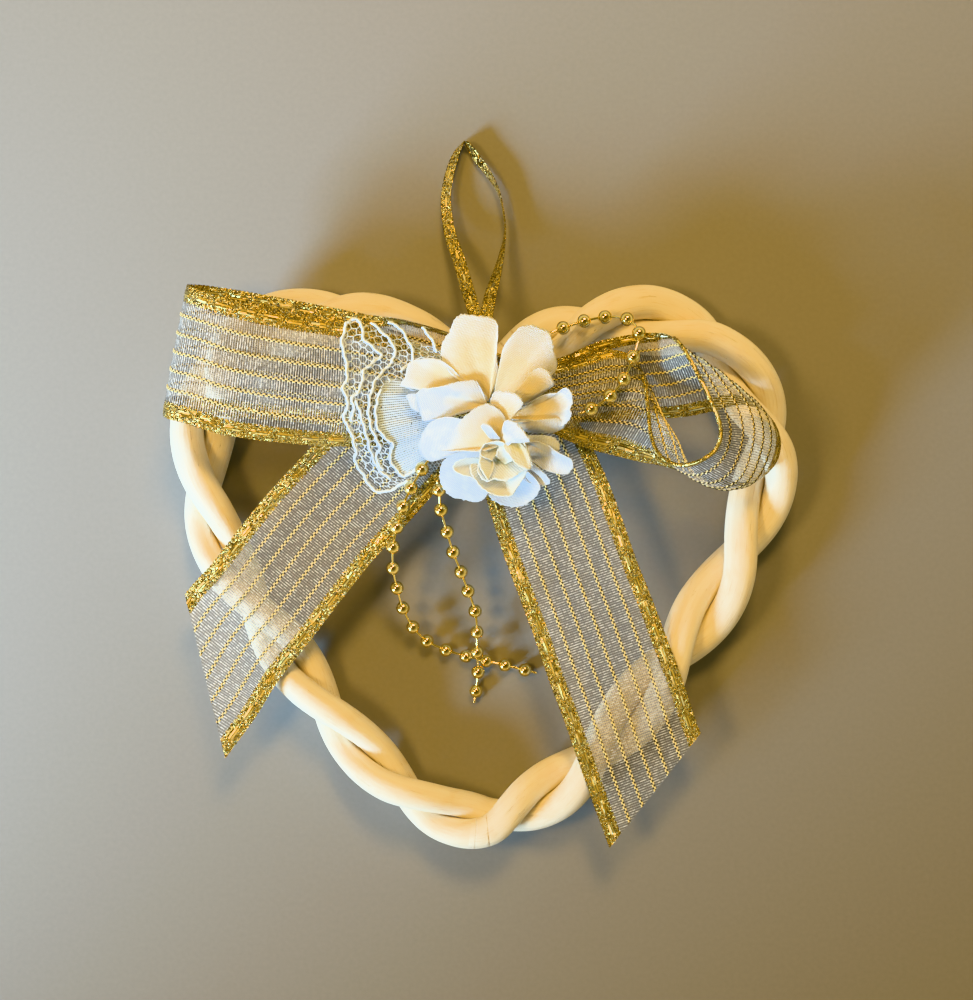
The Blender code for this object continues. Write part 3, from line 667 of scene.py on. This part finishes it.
def painted_cane_paint(name, seed):
    """Matt cream paint brushed along the grain, with hairline cracks, pores and thin worn streaks."""
    paint, tree, shader = new_paint(name, Roughness=0.62, Specular_IOR_Level=0.35)
    place = attribute(tree, "grain", "Vector")
    place = node(tree, "ShaderNodeMapping", 0, {0: place, 1: (0, 0, seed)})

    def stretched(across, along):
        return node(tree, "ShaderNodeMapping", 0, {0: place, 3: (across, across, along)})

    def streaks(across, along, detail, rough=0.6):
        return stretched(across, along).noise(1.0, detail, rough)

    fine = streaks(3.2, 0.16, 5.0)
    broad = streaks(0.45, 0.035, 3.0)
    patchy = streaks(0.16, 0.12, 2.0)
    base = broad.eased(0.35, 0.7).blend((0.84, 0.78, 0.69, 1), (0.90, 0.86, 0.79, 1))
    base = patchy.eased(0.45, 0.75).blend(base, (0.85, 0.765, 0.64, 1))
    worn = fine.eased(0.54, 0.72) * patchy.eased(0.34, 0.60)
    base = (worn * 0.6).blend(base, (0.60, 0.47, 0.33, 1))
    crack = streaks(1.5, 0.05, 2.0, 0.4).apart(0.52).eased(0.0, 0.006, 1.0, 0.0)
    crack = crack * streaks(0.5, 0.09, 1.0).eased(0.56, 0.64)
    base = (crack * 0.75).blend(base, (0.22, 0.15, 0.09, 1))
    spots = node(tree, "ShaderNodeTexVoronoi", "Distance", {"Vector": stretched(0.8, 0.34)})
    pore = spots.eased(0.035, 0.085, 1.0, 0.0) * streaks(0.2, 0.05, 1.0).eased(0.5, 0.62)
    base = (pore * 0.8).blend(base, (0.25, 0.18, 0.12, 1))

    # The butt joint: a line round the cane at each end of a patch, and its two long sides
    aside, upward, length = place.split()
    run = length - seed
    waved = run + (fine - 0.5) * 1.2
    near, far = PATCH_ENDS_MM
    rim = waved.apart(near).least(waved.apart(far))
    over = run.apart((near + far) / 2) < (far - near) / 2
    flank = aside.apart(0.0).apart(PATCH_HALF_WIDTH_MM)
    rim = rim.least(flank + 2.0 - over)
    rim = rim + (over < 0.5) * 9.0
    joint = rim.eased(0.05, 0.34, 1.0, 0.0) * upward.eased(0.6, 1.8)
    base = (joint * 0.5).blend(base, (0.60, 0.42, 0.24, 1))
    height = fine * 0.5 - crack * 1.6 - (pore + joint) * 1.2
    fill(shader, {"Base Color": base, "Normal": height.bump(0.7, 0.00032)})
    return paint


def organza_paint():
    """Sheer organza: glossy pale threads whose uneven brightness is painted glints, with painted shade as
    near-black gaps between them.
    """
    paint, tree, shader = new_paint("organza", Roughness=0.36, Specular_IOR_Level=0.6)
    across, along, _ = flat_place(tree).split()
    weft = along.rows(WEFT_PITCH_MM, 0.14, 0.24)
    warp = across.rows(WARP_PITCH_MM, 0.12, 0.26)
    threads = weft.most(warp * 0.3)
    # Painted glints: each thread cell gets its own random brightness.
    chance = (across / WARP_PITCH_MM).floor().chance((along / WEFT_PITCH_MM).floor())
    painted_light = chance.eased(0.35, 1.0).blend((0.36, 0.38, 0.42, 1), (0.82, 0.86, 0.94, 1))
    # Painted shade: the gaps are a near-black film at low alpha, for the ribbon's shadow on what lies
    # beneath.
    color = threads.blend((0.01, 0.011, 0.014, 1), painted_light)
    fill(shader, {"Base Color": color, "Alpha": threads * 0.62 + 0.2})
    return paint


def stripe_paint():
    """Stripe threads: a pale gold dot where each comes up between the wefts, with painted shade, near black,
    where it dips.
    """
    paint, tree, shader = new_paint("stripe_thread", Metallic=0.2, Roughness=0.35)
    along = flat_place(tree).split()[1]
    dots = (along + WEFT_PITCH_MM).rows(DOT_PITCH_MM, 0.2, 0.27)
    # Painted shade: near black where the thread dips under the wefts.
    fill(shader, {"Base Color": dots.blend((0.012, 0.008, 0.003, 1), (1.0, 0.86, 0.44, 1))})
    return paint


def gold_weave_paint(name, yarn, pick, tilt, float_rows):
    """Woven metal yarn; float_rows gives where the long floats lie across, in mm, and their repeat."""
    paint, tree, shader = new_paint(name, Metallic=0.9)
    low, high, length, repeat = float_rows
    place = flat_place(tree)
    across, along, _ = place.split()
    floats = (across > low) * (across < high) * ((along / repeat).fract() * repeat < length)
    weave = tree.nodes.new("ShaderNodeGroup")
    weave.node_tree = METAL_WEAVE
    fill(weave, {"Place": place, "Yarn mm": yarn, "Pick mm": pick, "Tilt": tilt, "Float": floats})
    # The weave's colour carries painted shade between the yarns and painted glints.
    color, normal, height, rough = (Value(tree, socket) for socket in weave.outputs)
    relief = height.bump(0.8, 0.00008, Normal=normal)
    fill(shader, {"Base Color": color, "Roughness": rough, "Normal": relief})
    return paint


def bead_paint():
    """Bright metallised gold with faint tarnish."""
    paint, tree, shader = new_paint("gold_bead", Metallic=1.0)
    cloudy = own_place(tree).noise(420.0, 2.0)
    color = cloudy.eased(0.35, 0.7).blend((0.86, 0.70, 0.32, 1), (0.98, 0.84, 0.46, 1))
    fill(shader, {"Base Color": color, "Roughness": cloudy.eased(0.3, 0.75, 0.07, 0.18)})
    return paint


def petal_paint(name, tone, foot, weave_mm):
    """Fine woven petal cloth that lets a little light through, with painted shade as a warm tint towards the
    petal's foot.
    """
    paint, tree, shader = new_paint(
        name, Roughness=0.75, Specular_IOR_Level=0.25, Subsurface_Weight=0.3, Subsurface_Scale=0.0012,
        Subsurface_Radius=(1.0, 0.8, 0.6), Sheen_Weight=0.1, Sheen_Roughness=0.5,
    )
    place = flat_place(tree)
    across, along, _ = place.split()

    def threads(value):
        return (value * (2 * math.pi / weave_mm)).reckoned("SINE") * 0.5

    weave = threads(across + along * 0.5) + threads(along)
    uneven = (place.noise(0.3, 3.0) - 0.5) * 0.7
    # Painted shade: the foot side takes the warm colour where the cool light does not reach, by the tint
    # share.
    warm = attribute(tree, "tint") + uneven
    warm.socket.node.use_clamp = True
    dark = weave.eased(-0.9, 0.3, 1.0, 0.0) * 0.34
    color = dark.blend(warm.blend(tone, foot), [0.6 * value for value in foot[:3]] + [1])
    fill(shader, {"Base Color": color, "Normal": weave.bump(0.9, 0.00007)})
    return paint


def lace_ground_paint():
    """Clear net between the threads; where the piece's dense attribute is high, close hatching."""
    paint, tree, shader = new_paint("lace_ground", Roughness=0.8, Specular_IOR_Level=0.2)
    place = flat_place(tree)
    across, along, _ = place.split()
    holes = node(tree, "ShaderNodeTexVoronoi", "Distance", {"Vector": place, "Scale": 0.52})
    bars = along.rows(0.62, 0.24, 0.36).most(across.rows(0.46, 0.12, 0.3) * 0.6)
    bars = bars * holes.eased(0.07, 0.15)
    fine = across.rows(0.31, 0.1, 0.2).most(along.rows(0.37, 0.1, 0.2))
    alpha = attribute(tree, "dense").between(fine * 0.1, bars * 0.6 + 0.36)
    color = bars.blend((0.26, 0.36, 0.60, 1), (0.60, 0.76, 1.0, 1))
    fill(shader, {"Base Color": color, "Alpha": alpha})
    return paint


def lace_thread_paint():
    """Twisted blue-white cotton."""
    paint, tree, shader = new_paint("lace_thread", Roughness=0.7, Specular_IOR_Level=0.3)
    fluff = own_place(tree).noise(2600.0, 2.0)
    color = fluff.blend((0.60, 0.72, 0.94, 1), (0.74, 0.86, 1.0, 1))
    fill(shader, {"Base Color": color, "Normal": fluff.bump(0.7, 0.00008)})
    return paint


# Camera, light and floor

def reference_camera():
    camera = bpy.data.cameras.new("reference")
    camera.sensor_fit = "HORIZONTAL"
    half_width = PICTURE_WIDTH_PX * PIXEL_MM / 2
    camera.angle = 2 * math.atan(half_width / (EYE_HEIGHT_MM - FRAME_MIDDLE_MM))
    camera.clip_start = 0.01
    made = linked("reference", camera)
    made.location = seen(*VIEW_CENTRE_PX, EYE_HEIGHT_MM)
    bpy.context.scene.camera = made


def soft_light(name, place, size, power, colour, aim=(0.0, 0.0, 0.0), spread=180.0):
    light = bpy.data.lights.new(name, "AREA")
    light.size = size
    light.spread = math.radians(spread)
    light.energy = power
    light.color = colour
    made = linked(name, light)
    made.location = place
    made.rotation_euler = (Vector(aim) - Vector(place)).to_track_quat("-Z", "Y").to_euler()


def studio():
    """A bluish window, two warm lamps, and a warm room that is brightest at its horizon."""
    soft_light("window", (-0.50, -0.30, 0.26), 0.20, 1.62, (0.52, 0.80, 1.0), (-0.12, 0.14, 0.0), 60.0)
    soft_light("left_lamp", (-0.28, 0.02, 0.54), 0.12, 1.8, LAMP_COLOUR)
    soft_light("back_lamp", (0.06, 0.38, 0.56), 0.16, 2.9, LAMP_COLOUR)
    world = bpy.data.worlds.new("room")
    world.use_nodes = True
    up = own_place(world.node_tree, "Generated").split()[2]
    room = {"Color": (1.0, 0.82, 0.42, 1), "Strength": up.eased(0.0, 1.0, 0.95, 0.1)}
    fill(world.node_tree.nodes["Background"], room)
    bpy.context.scene.world = world
    bpy.context.scene.view_settings.view_transform = "Khronos PBR Neutral"


def pale_floor():
    slab = bmesh.new()
    bmesh.ops.create_grid(slab, x_segments=1, y_segments=1, size=1.5)
    mesh = mesh_of("floor", slab)
    paint, tree, shader = new_paint("pale_floor", Roughness=0.7, Specular_IOR_Level=0.3)
    mottle = own_place(tree).noise(900.0, 2.0)
    fill(shader, {"Base Color": mottle.blend((0.220, 0.228, 0.252, 1), (0.248, 0.256, 0.280, 1))})
    mesh.materials.append(paint)
    floor = linked("floor", mesh)
    floor.location.z = -0.0001


# Canes

def heart_middle(at):
    """The middle of the twisted pair at some crossings, and how far it is squeezed there."""
    wrap = 3
    rows = np.array([(*seen(x, y, FRAME_MIDDLE_MM), squeeze) for _, x, y, squeeze in HEART_LINE])
    knots = np.array([float(row[0]) for row in HEART_LINE])
    rows = np.concatenate((rows[-wrap:], rows, rows[:wrap]))
    knots = np.concatenate((knots[-wrap:] - CROSSINGS, knots, knots[:wrap] + CROSSINGS))
    found = smooth_through(rows, knots, np.mod(at, CROSSINGS))
    return found[:, :3], found[:, 3]


def cane(name, phase, first_crossing, seed, stands_for):
    """One cane of the pair; its grain, cracks and size run along it from its own butt joint."""
    at = first_crossing + np.linspace(0.0, CROSSINGS, CANE_RINGS + 1)
    middle, squeeze = heart_middle(at)
    along = unit(heart_middle(at + 0.1)[0] - heart_middle(at - 0.1)[0])
    outward = np.cross(along, (0.0, 0.0, 1.0))
    turn = np.pi * at + phase
    wander = random.Random(seed)
    waves = [
        (wander.uniform(0, 2 * math.pi), count, wander.uniform(0.004, 0.010)) for count in CANE_WAVES
    ]

    def laid(ring, far, side):
        """Places far out from the middle of the pair and aside from that, in mm."""
        lean = turn[ring]
        sideways = (far * np.cos(lean) - side * np.sin(lean)) * squeeze[ring]
        up = far * np.sin(lean) + side * np.cos(lean)
        spot = middle[ring] + outward[ring] * (sideways * MM)[:, None]
        spot[:, 2] += up * MM
        return spot

    def place(across, run):
        ring = np.rint(run * CANE_RINGS).astype(int)
        spin = 2 * np.pi * across
        thin = sum(size * np.sin(2 * np.pi * count * run + start + spin) for start, count, size in waves)
        spin = spin - turn[ring]
        full = 1.0 - np.abs(thin)
        far = TWIST_RADIUS_MM + CANE_RADIUS_MM * full * np.cos(spin)
        return laid(ring, far, CANE_HALF_BREADTH_MM * full * np.sin(spin))

    mesh = surface_mesh(name, CANE_SIDES, CANE_RINGS, place)
    round_share, long_share = values_of(mesh.uv_layers[0].data, "uv", 2).T
    spin = 2 * np.pi * round_share
    path = laid(np.arange(CANE_RINGS + 1), TWIST_RADIUS_MM, 0.0)
    length = lengths_along(path)[-1] / MM
    grain = np.stack((np.cos(spin) * CANE_RADIUS_MM, np.sin(spin) * CANE_RADIUS_MM, long_share * length), 1)
    mesh.attributes.new("grain", "FLOAT_VECTOR", "CORNER").data.foreach_set("vector", grain.ravel())
    finished(name, sealed(mesh), painted_cane_paint(name + "_paint", seed * 37.0), stands_for)


# Ribbon

class Strip:
    """A ribbon laid along rows of (edge, middle, other edge), read by mm across and along."""

    def __init__(self, rows, curl):
        edges = []
        for row in map(all_seen, rows):
            middle = row[1] if len(row) > 2 else (row[0] + row[1]) / 2
            edges.append((row[0], middle, row[-1]))
        self.edges = np.array(edges)
        self.knots = lengths_along(self.edges[:, 1])
        self.length = self.knots[-1] / MM
        self.curl_at = [np.interp(row, np.arange(len(rows)), self.knots) for row, _ in curl]
        self.curl = [turn for _, turn in curl]

    def place(self, across, along, lift=0.0):
        """Points at mm across and mm along, lifted off the face by mm."""
        across = np.asarray(across, float)
        at = np.clip(np.asarray(along, float) * MM, 0.0, self.knots[-1])
        top, middle, bottom = (smooth_through(self.edges[:, k], self.knots, at) for k in range(3))
        turn = np.interp(at, self.curl_at, self.curl) if self.curl else np.zeros(len(across))
        share = across / RIBBON_WIDTH_MM
        corners = (0.0, BORDER_WIDTH_MM, RIBBON_WIDTH_MM)
        turned = (-0.5 * STANDING_MM, 0.5 * STANDING_MM, RIBBON_WIDTH_MM)
        share = share + (np.interp(across, corners, turned) / RIBBON_WIDTH_MM - share) * np.abs(turn)
        share = share[:, None]
        spot = (
            top * (2 * (share - 0.5) * (share - 1))
            + middle * (4 * share * (1 - share))
            + bottom * (2 * share * (share - 0.5))
        )
        standing = np.clip(BORDER_WIDTH_MM - across, 0, BORDER_WIDTH_MM)
        low = np.clip((RIBBON_WIDTH_MM / 2 - across) / (RIBBON_WIDTH_MM / 2 - BORDER_WIDTH_MM), 0, 1)
        hanging = np.minimum(np.clip(across, 0, None), BORDER_WIDTH_MM * low)
        spot[:, 2] += turn * np.where(turn > 0, standing, hanging) * MM
        if np.any(lift):
            spot = spot + self.facing(across, along) * (np.asarray(lift) * MM)[..., None]
        return spot

    def facing(self, across, along, step=0.4):
        ahead = self.place(across, along + step) - self.place(across, along - step)
        aside = self.place(across + step, along) - self.place(across - step, along)
        return unit(np.cross(aside, ahead))


def trimmed(mesh, cuts):
    """A strip cut through slanting lines of the view, keeping the side that holds the bow."""
    if not cuts:
        return mesh
    cloth = bmesh.new()
    cloth.from_mesh(mesh)
    middle = Vector(seen(*VIEW_CENTRE_PX, 18.0))
    for start, end in cuts:
        low, high = Vector(seen(*start, CUT_HEIGHT_MM)), Vector(seen(*end, CUT_HEIGHT_MM))
        across = (high - low).cross(Vector((0, 0, 1))).normalized()
        if (middle - low).dot(across) > 0:
            across.negate()
        bmesh.ops.bisect_plane(
            cloth, geom=cloth.verts[:] + cloth.edges[:] + cloth.faces[:], dist=1e-7,
            plane_co=low, plane_no=across, clear_outer=True,
        )
    cloth.to_mesh(mesh)
    cloth.free()
    return mesh


def ribbon_ground(name, strip):
    """The sheer ground between the gold borders, held a little under each."""
    def place(across, along):
        return strip.place(GROUND_EDGE_MM + across * GROUND_WIDTH_MM, along * strip.length)

    rows = int(strip.length / GROUND_STEP_MM)
    return surface_mesh(name, GROUND_COLUMNS, rows, place, (GROUND_WIDTH_MM, strip.length))


def gold_border(name, strip, first):
    """One woven gold border: crossing yarns, a run of long floats and a scalloped outer edge."""
    outer = 0.0 if first else RIBBON_WIDTH_MM
    inward = 1.0 if first else -1.0

    def place(across, along):
        run = along * strip.length
        depth = across * BORDER_WIDTH_MM
        scallop = 0.2 * np.abs(np.sin(np.pi * run / SCALLOP_MM)) * np.clip(1 - depth / 0.7, 0, 1)
        yarns = 0.07 * np.sin(np.pi * depth / RELIEF_MM) * np.sin(np.pi * run / RELIEF_MM)
        part = np.mod(run, FLOAT_REPEAT_MM) / FLOAT_MM
        middle = np.exp(-(((depth - BORDER_WIDTH_MM / 2) / 0.5) ** 2))
        floats = 0.16 * middle * np.where(part < 1, np.sin(np.pi * np.clip(part, 0, 1)), 0.0) ** 0.5
        lift = 0.12 * np.sin(np.pi * across) + yarns + floats
        return strip.place(outer + inward * (depth - scallop), run, lift)

    rows = int(strip.length / BORDER_STEP_MM)
    return surface_mesh(name, BORDER_COLUMNS, rows, place, (BORDER_WIDTH_MM, strip.length))


def gold_stripes(name, strip):
    """Stripes of two gold threads each, which come up between the wefts in turn, as dots."""
    made = []
    steps = 6
    dots = int(strip.length / DOT_PITCH_MM)
    run = np.linspace(0.0, dots * DOT_PITCH_MM, dots * steps + 1)
    wave = np.cos(2 * np.pi * run / DOT_PITCH_MM)
    radius = STRIPE_THREAD_MM / 2 * (0.86 + 0.24 * wave)
    for stripe in range(STRIPES):
        middle = RIBBON_WIDTH_MM / 2 + (stripe - (STRIPES - 1) / 2) * STRIPE_PITCH_MM
        for side, late in ((1, 0.0), (-1, WEFT_PITCH_MM)):
            across = np.full_like(run, middle + side * STRIPE_HALF_MM)
            path = strip.place(across, run - late, 0.1 * wave)
            made.append(tube_mesh(f"{name}_{stripe}_{side}", path, radius * MM, 4, run[-1]))
    return together(name, made)


def mouth_edge(name, strip):
    """The border that turns down round the mouth of the right loop, seen as a thick gold edge."""
    run = np.arange(strip.curl_at[4], strip.curl_at[5], 0.35 * MM) / MM
    path = strip.place(np.full_like(run, 0.3), run)
    radius = MOUTH_EDGE_MM / 2 * (1 + 0.12 * np.sin(2 * np.pi * run / SCALLOP_MM))
    return tube_mesh(name, path, radius * MM, 10)


def ribbon(name, rows, curl=(), cuts=()):
    """A ribbon's sheer ground with its two borders and its stripes."""
    strip = Strip(rows, curl)

    def piece(label, mesh, paint, stands_for=None):
        return finished(label, trimmed(mesh, cuts), paint, stands_for)

    ground = piece(name, ribbon_ground(name, strip), ORGANZA, "ribbon_" + name)
    for side, first in (("upper", True), ("lower", False)):
        label = f"{name}_{side}_border"
        mesh = gold_border(label, strip, first)
        if curl and first:
            mesh = together(label, [mesh, mouth_edge(label + "_mouth", strip)])
        piece(label, mesh, GOLD_BORDER)
    label = name + "_stripes"
    piece(label, gold_stripes(label, strip), STRIPE_THREAD)


# Lace

def lace_place(out, down, lift=0.0):
    """Points of the frill: out from 0 at its gathers to 1 at its edge, down from 0 to 1."""
    gathered, outer = all_seen(LACE_GATHERED), all_seen(LACE_OUTER)
    short, long = lengths_along(gathered), lengths_along(outer)
    start = smooth_through(gathered, short, down * short[-1])
    end = smooth_through(outer, long, down * long[-1])
    spot = start + (end - start) * np.asarray(out)[:, None]
    wave = LACE_WAVE_MM * np.sin(2 * np.pi * LACE_WAVES * down) * out
    gathers = 0.3 * np.sin(2 * np.pi * LACE_GATHERS * down + 1.0) * (1 - out) ** 1.5
    spot[:, 2] += (wave + gathers + lift) * MM
    return spot


def inside(polygon, spots, soft):
    """1 inside a polygon of the view and 0 outside, eased over some pixels."""
    crossings = np.zeros(len(spots), dtype=int)
    nearest = np.full(len(spots), 1e9)
    for (x0, y0), (x1, y1) in zip(polygon, polygon[1:] + polygon[:1]):
        spans = (y0 > spots[:, 1]) != (y1 > spots[:, 1])
        at = x0 + (spots[:, 1] - y0) * (x1 - x0) / ((y1 - y0) or 1e-9)
        crossings += spans & (spots[:, 0] < at)
        side = np.array((x1 - x0, y1 - y0), float)
        share = np.clip(((spots - (x0, y0)) @ side) / (side @ side), 0, 1)
        gap = np.linalg.norm(spots - (x0, y0) - share[:, None] * side, axis=1)
        nearest = np.minimum(nearest, gap)
    signed = np.where(crossings % 2 == 1, nearest, -nearest)
    return np.clip(signed / soft + 0.5, 0, 1)


def on_frill(flat):
    """How far out and down the frill the places of the flat net come, from 0 to 1."""
    return np.clip(1 - flat[:, 0] / LACE_DEPTH_MM, 0, 1), np.clip(flat[:, 1] / LACE_LENGTH_MM, 0, 1)


def lace_net():
    """A net of uneven hexagons of thread, with none over the dense motif."""
    net = bmesh.new()
    step = NET_CELL_MM * math.sqrt(3)
    for column in range(int(LACE_DEPTH_MM / (1.5 * NET_CELL_MM)) + 1):
        for row in range(int(LACE_LENGTH_MM / step) + 1):
            spot = (column * 1.5 * NET_CELL_MM, (row + 0.5 * (column % 2)) * step, 0.0)
            bmesh.ops.create_circle(
                net, cap_ends=True, segments=6, radius=NET_CELL_MM,
                matrix=Matrix.Translation(spot) @ Matrix.Rotation(math.radians(30), 4, "Z"),
            )
    bmesh.ops.remove_doubles(net, verts=net.verts, dist=0.05)
    middles = np.array([face.calc_center_median() for face in net.faces])
    closed = inside(LACE_MOTIF, in_view(lace_place(*on_frill(middles))), 3.0) > 0.5
    closed = [face for face, is_closed in zip(net.faces, closed) if is_closed]
    bmesh.ops.delete(net, geom=closed, context="FACES")
    uneven = random.Random(5)
    for vertex in net.verts:
        vertex.co.x += uneven.uniform(-0.22, 0.22)
        vertex.co.y += uneven.uniform(-0.22, 0.22)
    bmesh.ops.wireframe(
        net, faces=net.faces[:], thickness=NET_THREAD_MM, use_replace=True, use_boundary=True,
        use_even_offset=True,
    )
    flat = np.array([vertex.co for vertex in net.verts])
    for vertex, spot in zip(net.verts, lace_place(*on_frill(flat), flat[:, 2] + 0.12)):
        vertex.co = spot
    return mesh_of("lace_net", net)


def lace_outlines(places):
    """The thick outline threads, laid a little over the frill's own places."""
    made = []
    view = in_view(places)
    for number, line in enumerate(LACE_OUTLINES):
        route = []
        for x, y in line:
            gaps = np.linalg.norm(view - (x, y), axis=1)
            near = np.argsort(gaps)[:5]
            shares = 1 / (gaps[near] + 0.5)
            height = float(places[near, 2] @ shares / shares.sum()) / MM
            route.append(seen(x, y, height + 0.3))
        path = evenly(np.array(route), 0.25 * MM)
        run = lengths_along(path) / MM
        wobble = 0.14 * np.sin(2 * np.pi * run / 3.6 + number) + 0.05 * np.sin(2 * np.pi * run / 1.3)
        sideways = unit(np.cross(np.gradient(path, axis=0), (0.0, 0.0, 1.0)))
        path = path + sideways * (wobble * MM)[:, None]
        thick = OUTLINE_THREAD_MM * (1 + 0.14 * np.sin(2 * np.pi * run / 1.7 + 2 * number))
        made.append(tube_mesh(f"lace_outline_{number}", path, thick * MM, 7))
    return together("lace_outline", made)


def lace_frill():
    """The frill: a clear ground with its dense motif, a net of threads and thick outline threads."""
    def dense(out, down):
        view = in_view(lace_place(out, down))
        return np.maximum(inside(LACE_MOTIF, view, 3.0), 0.42 * inside(LACE_FILM, view, 5.0))

    size = (LACE_DEPTH_MM, LACE_LENGTH_MM)
    ground = surface_mesh("lace", 56, 96, lace_place, size, {"dense": dense})
    outlines = lace_outlines(values_of(ground.vertices, "co", 3))
    lace = finished("lace", ground, LACE_GROUND, "lace_frill")
    threads = finished("lace_net", lace_net(), LACE_THREAD)
    edge = finished("lace_outline", outlines, LACE_THREAD)


# Blossoms

def petal_mesh(name, petal, seed):
    """One cut petal: a fan from its foot to its rim, with a waved and slightly frayed edge."""
    foot, belly, waving, warm, rim = petal
    foot = seen(*foot)
    rim = all_seen(rim)
    knots = lengths_along(rim)
    columns = max(16, int(knots[-1] / MM / PETAL_STEPS_MM[0]))
    reach = np.linalg.norm(rim - foot, axis=1).max()
    rows = max(10, int(reach / MM / PETAL_STEPS_MM[1]))
    uneven = np.random.default_rng(seed)
    fray = uneven.uniform(-0.16, 0.22, columns + 1)
    start, turns = uneven.uniform(0, 2 * math.pi), uneven.uniform(1.6, 3.2)
    face = unit(np.cross(rim[-1] - foot, rim[0] - foot))
    face = face if face[2] > 0 else -face
    ahead = unit(rim[len(rim) // 2] - foot)
    aside = np.cross(face, ahead)

    def place(across, along):
        column = np.rint(across * columns).astype(int)
        edge = smooth_through(rim, knots, across * knots[-1])
        outward = unit(edge - foot)
        spot = foot + (edge - foot) * along[:, None]
        rise = belly * 4 * along * (1 - along) * np.sin(np.pi * across) ** 0.7
        wave = waving * along**3 * np.sin(2 * np.pi * turns * across + start)
        crease = -0.02 * np.exp(-(((across - 0.5) * columns / 2.2) ** 2)) * np.sin(np.pi * along)
        spot = spot + face * ((rise + wave + crease) * MM)[:, None]
        return spot + outward * (fray[column] * MM * (along > 0.999))[:, None]

    def flat(across, along):
        spot = place(across, along) - foot
        return np.stack((spot @ aside, spot @ ahead), axis=1) / MM + seed * 3.7

    # Share of painted warm shade: full near the foot, fading out around the petal's warm reach.
    def tint(across, along):
        return np.clip((warm - along) / 0.45 + 0.5, 0, 1)

    return sealed(surface_mesh(name, columns, rows, place, flat, {"tint": tint}))


def blossom(name, petals, paint, stands_for, seed):
    meshes = [petal_mesh(f"{name}_{number}", petal, seed + number) for number, petal in enumerate(petals)]
    made = finished(name, together(name, meshes), paint, stands_for)
    wall = made.modifiers.new("wall", "SOLIDIFY")
    wall.thickness = PETAL_MM * MM
    wall.offset = 0.0


# Beads and tape

def bead_string(name, route, stands_for):
    """A thread with round beads on it, laid along its route."""
    corners = all_seen(route)
    path = evenly(corners, 0.5 * MM)
    label = name + "_thread"
    mesh = tube_mesh(label, path, THREAD_RADIUS_MM * MM, 8)
    thread = finished(label, mesh, BEAD_GOLD, stands_for)
    beads = bmesh.new()
    for spot, before, after in zip(corners[1:-1], corners[:-2], corners[2:]):
        turned = Vector(after - before).to_track_quat("Z", "Y").to_matrix().to_4x4()
        matrix = Matrix.Translation(Vector(spot)) @ turned
        bmesh.ops.create_uvsphere(
            beads, u_segments=28, v_segments=16, radius=BEAD_RADIUS_MM * MM, matrix=matrix
        )
    label = name + "_beads"
    round_beads = finished(label, mesh_of(label, beads), BEAD_GOLD)
    float(lengths_along(path)[-1])


def hanging_tape():
    """The flat tape, leaning and turning along its loop."""
    spots = all_seen([row[:3] for row in HANGING_LOOP])
    leans = np.array([row[3:] for row in HANGING_LOOP], float)
    knots = lengths_along(spots)
    count = int(knots[-1] / MM / 0.25)
    at = np.linspace(0.0, knots[-1], count)
    path = smooth_through(spots, knots, at)
    lean = np.radians(smooth_through(leans, knots, at)[:, 0])
    along = unit(np.gradient(path, axis=0))
    level = unit(np.cross((0.0, 0.0, 1.0), along))
    upright = np.cross(along, level)
    side = level * np.cos(lean)[:, None] - upright * np.sin(lean)[:, None]
    face = np.cross(along, side)
    length = knots[-1] / MM

    def place(across, run):
        ring = np.rint(run * (count - 1)).astype(int)
        turn = 2 * np.pi * across
        out = np.sign(np.cos(turn)) * np.abs(np.cos(turn)) ** 0.6 * TAPE_WIDTH_MM / 2
        yarn = 0.05 * np.sin(2 * np.pi * out / 0.62) * np.sin(2 * np.pi * run * length / 1.1)
        thick = np.sin(turn) * TAPE_MM / 2 + np.sign(np.sin(turn)) * yarn
        return path[ring] + (side[ring] * out[:, None] + face[ring] * thick[:, None]) * MM

    def flat(across, run):
        out = np.cos(2 * np.pi * across)
        out = 0.5 + 0.5 * np.sign(out) * np.abs(out) ** 0.6
        return np.stack((out * TAPE_WIDTH_MM, run * length), axis=1)

    mesh = surface_mesh("hanging_tape", 24, count - 1, place, flat)
    tape = finished("hanging_tape", sealed(mesh, caps=True), GOLD_TAPE, "hanging_loop")


ORGANZA = organza_paint()
GOLD_BORDER = gold_weave_paint(
    "gold_border", YARN_MM, PICK_MM, 0.8, (4 * YARN_MM, 8 * YARN_MM, FLOAT_MM, FLOAT_REPEAT_MM)
)
GOLD_TAPE = gold_weave_paint("gold_tape", 0.30, 0.44, 0.7, (1.2, 1.8, 2.3, 7.2))
STRIPE_THREAD = stripe_paint()
BEAD_GOLD = bead_paint()
# The second colour of each cloth is the painted warm shade at the petal's foot.
PETAL_CREAM = petal_paint("petal_cloth", (0.60, 0.70, 0.92, 1), (0.84, 0.73, 0.52, 1), 0.36)
PETAL_HEART = petal_paint("heart_cloth", (0.70, 0.77, 0.84, 1), (0.76, 0.78, 0.60, 1), 0.34)
LACE_GROUND = lace_ground_paint()
LACE_THREAD = lace_thread_paint()

reference_camera()
studio()
pale_floor()

hanging_tape()
bead_string("left_string", BEAD_STRAND_LEFT, "bead_strand_left")
bead_string("middle_string", BEAD_STRAND_MIDDLE, "bead_strand_middle")
bead_string("looped_string", BEAD_LOOP, "bead_loop")

cane("cane_with_patched_joint", math.pi / 2, FIRST_JOINT, 3, "cane_one")
cane("cane_over_under", -math.pi / 2, SECOND_JOINT, 8, "cane_two")
ribbon("tails", TAIL_ROWS, cuts=(LEFT_CUT, RIGHT_CUT))
ribbon("loops", LOOP_ROWS, curl=LOOP_CURL)
lace_frill()
blossom("back_blossom", BACK_PETALS, PETAL_CREAM, "blossom_back", 11)
blossom("front_blossom", FRONT_PETALS, PETAL_CREAM, "blossom_front", 31)
blossom("front_blossom_heart", HEART_PETALS, PETAL_HEART, "blossom_front", 51)
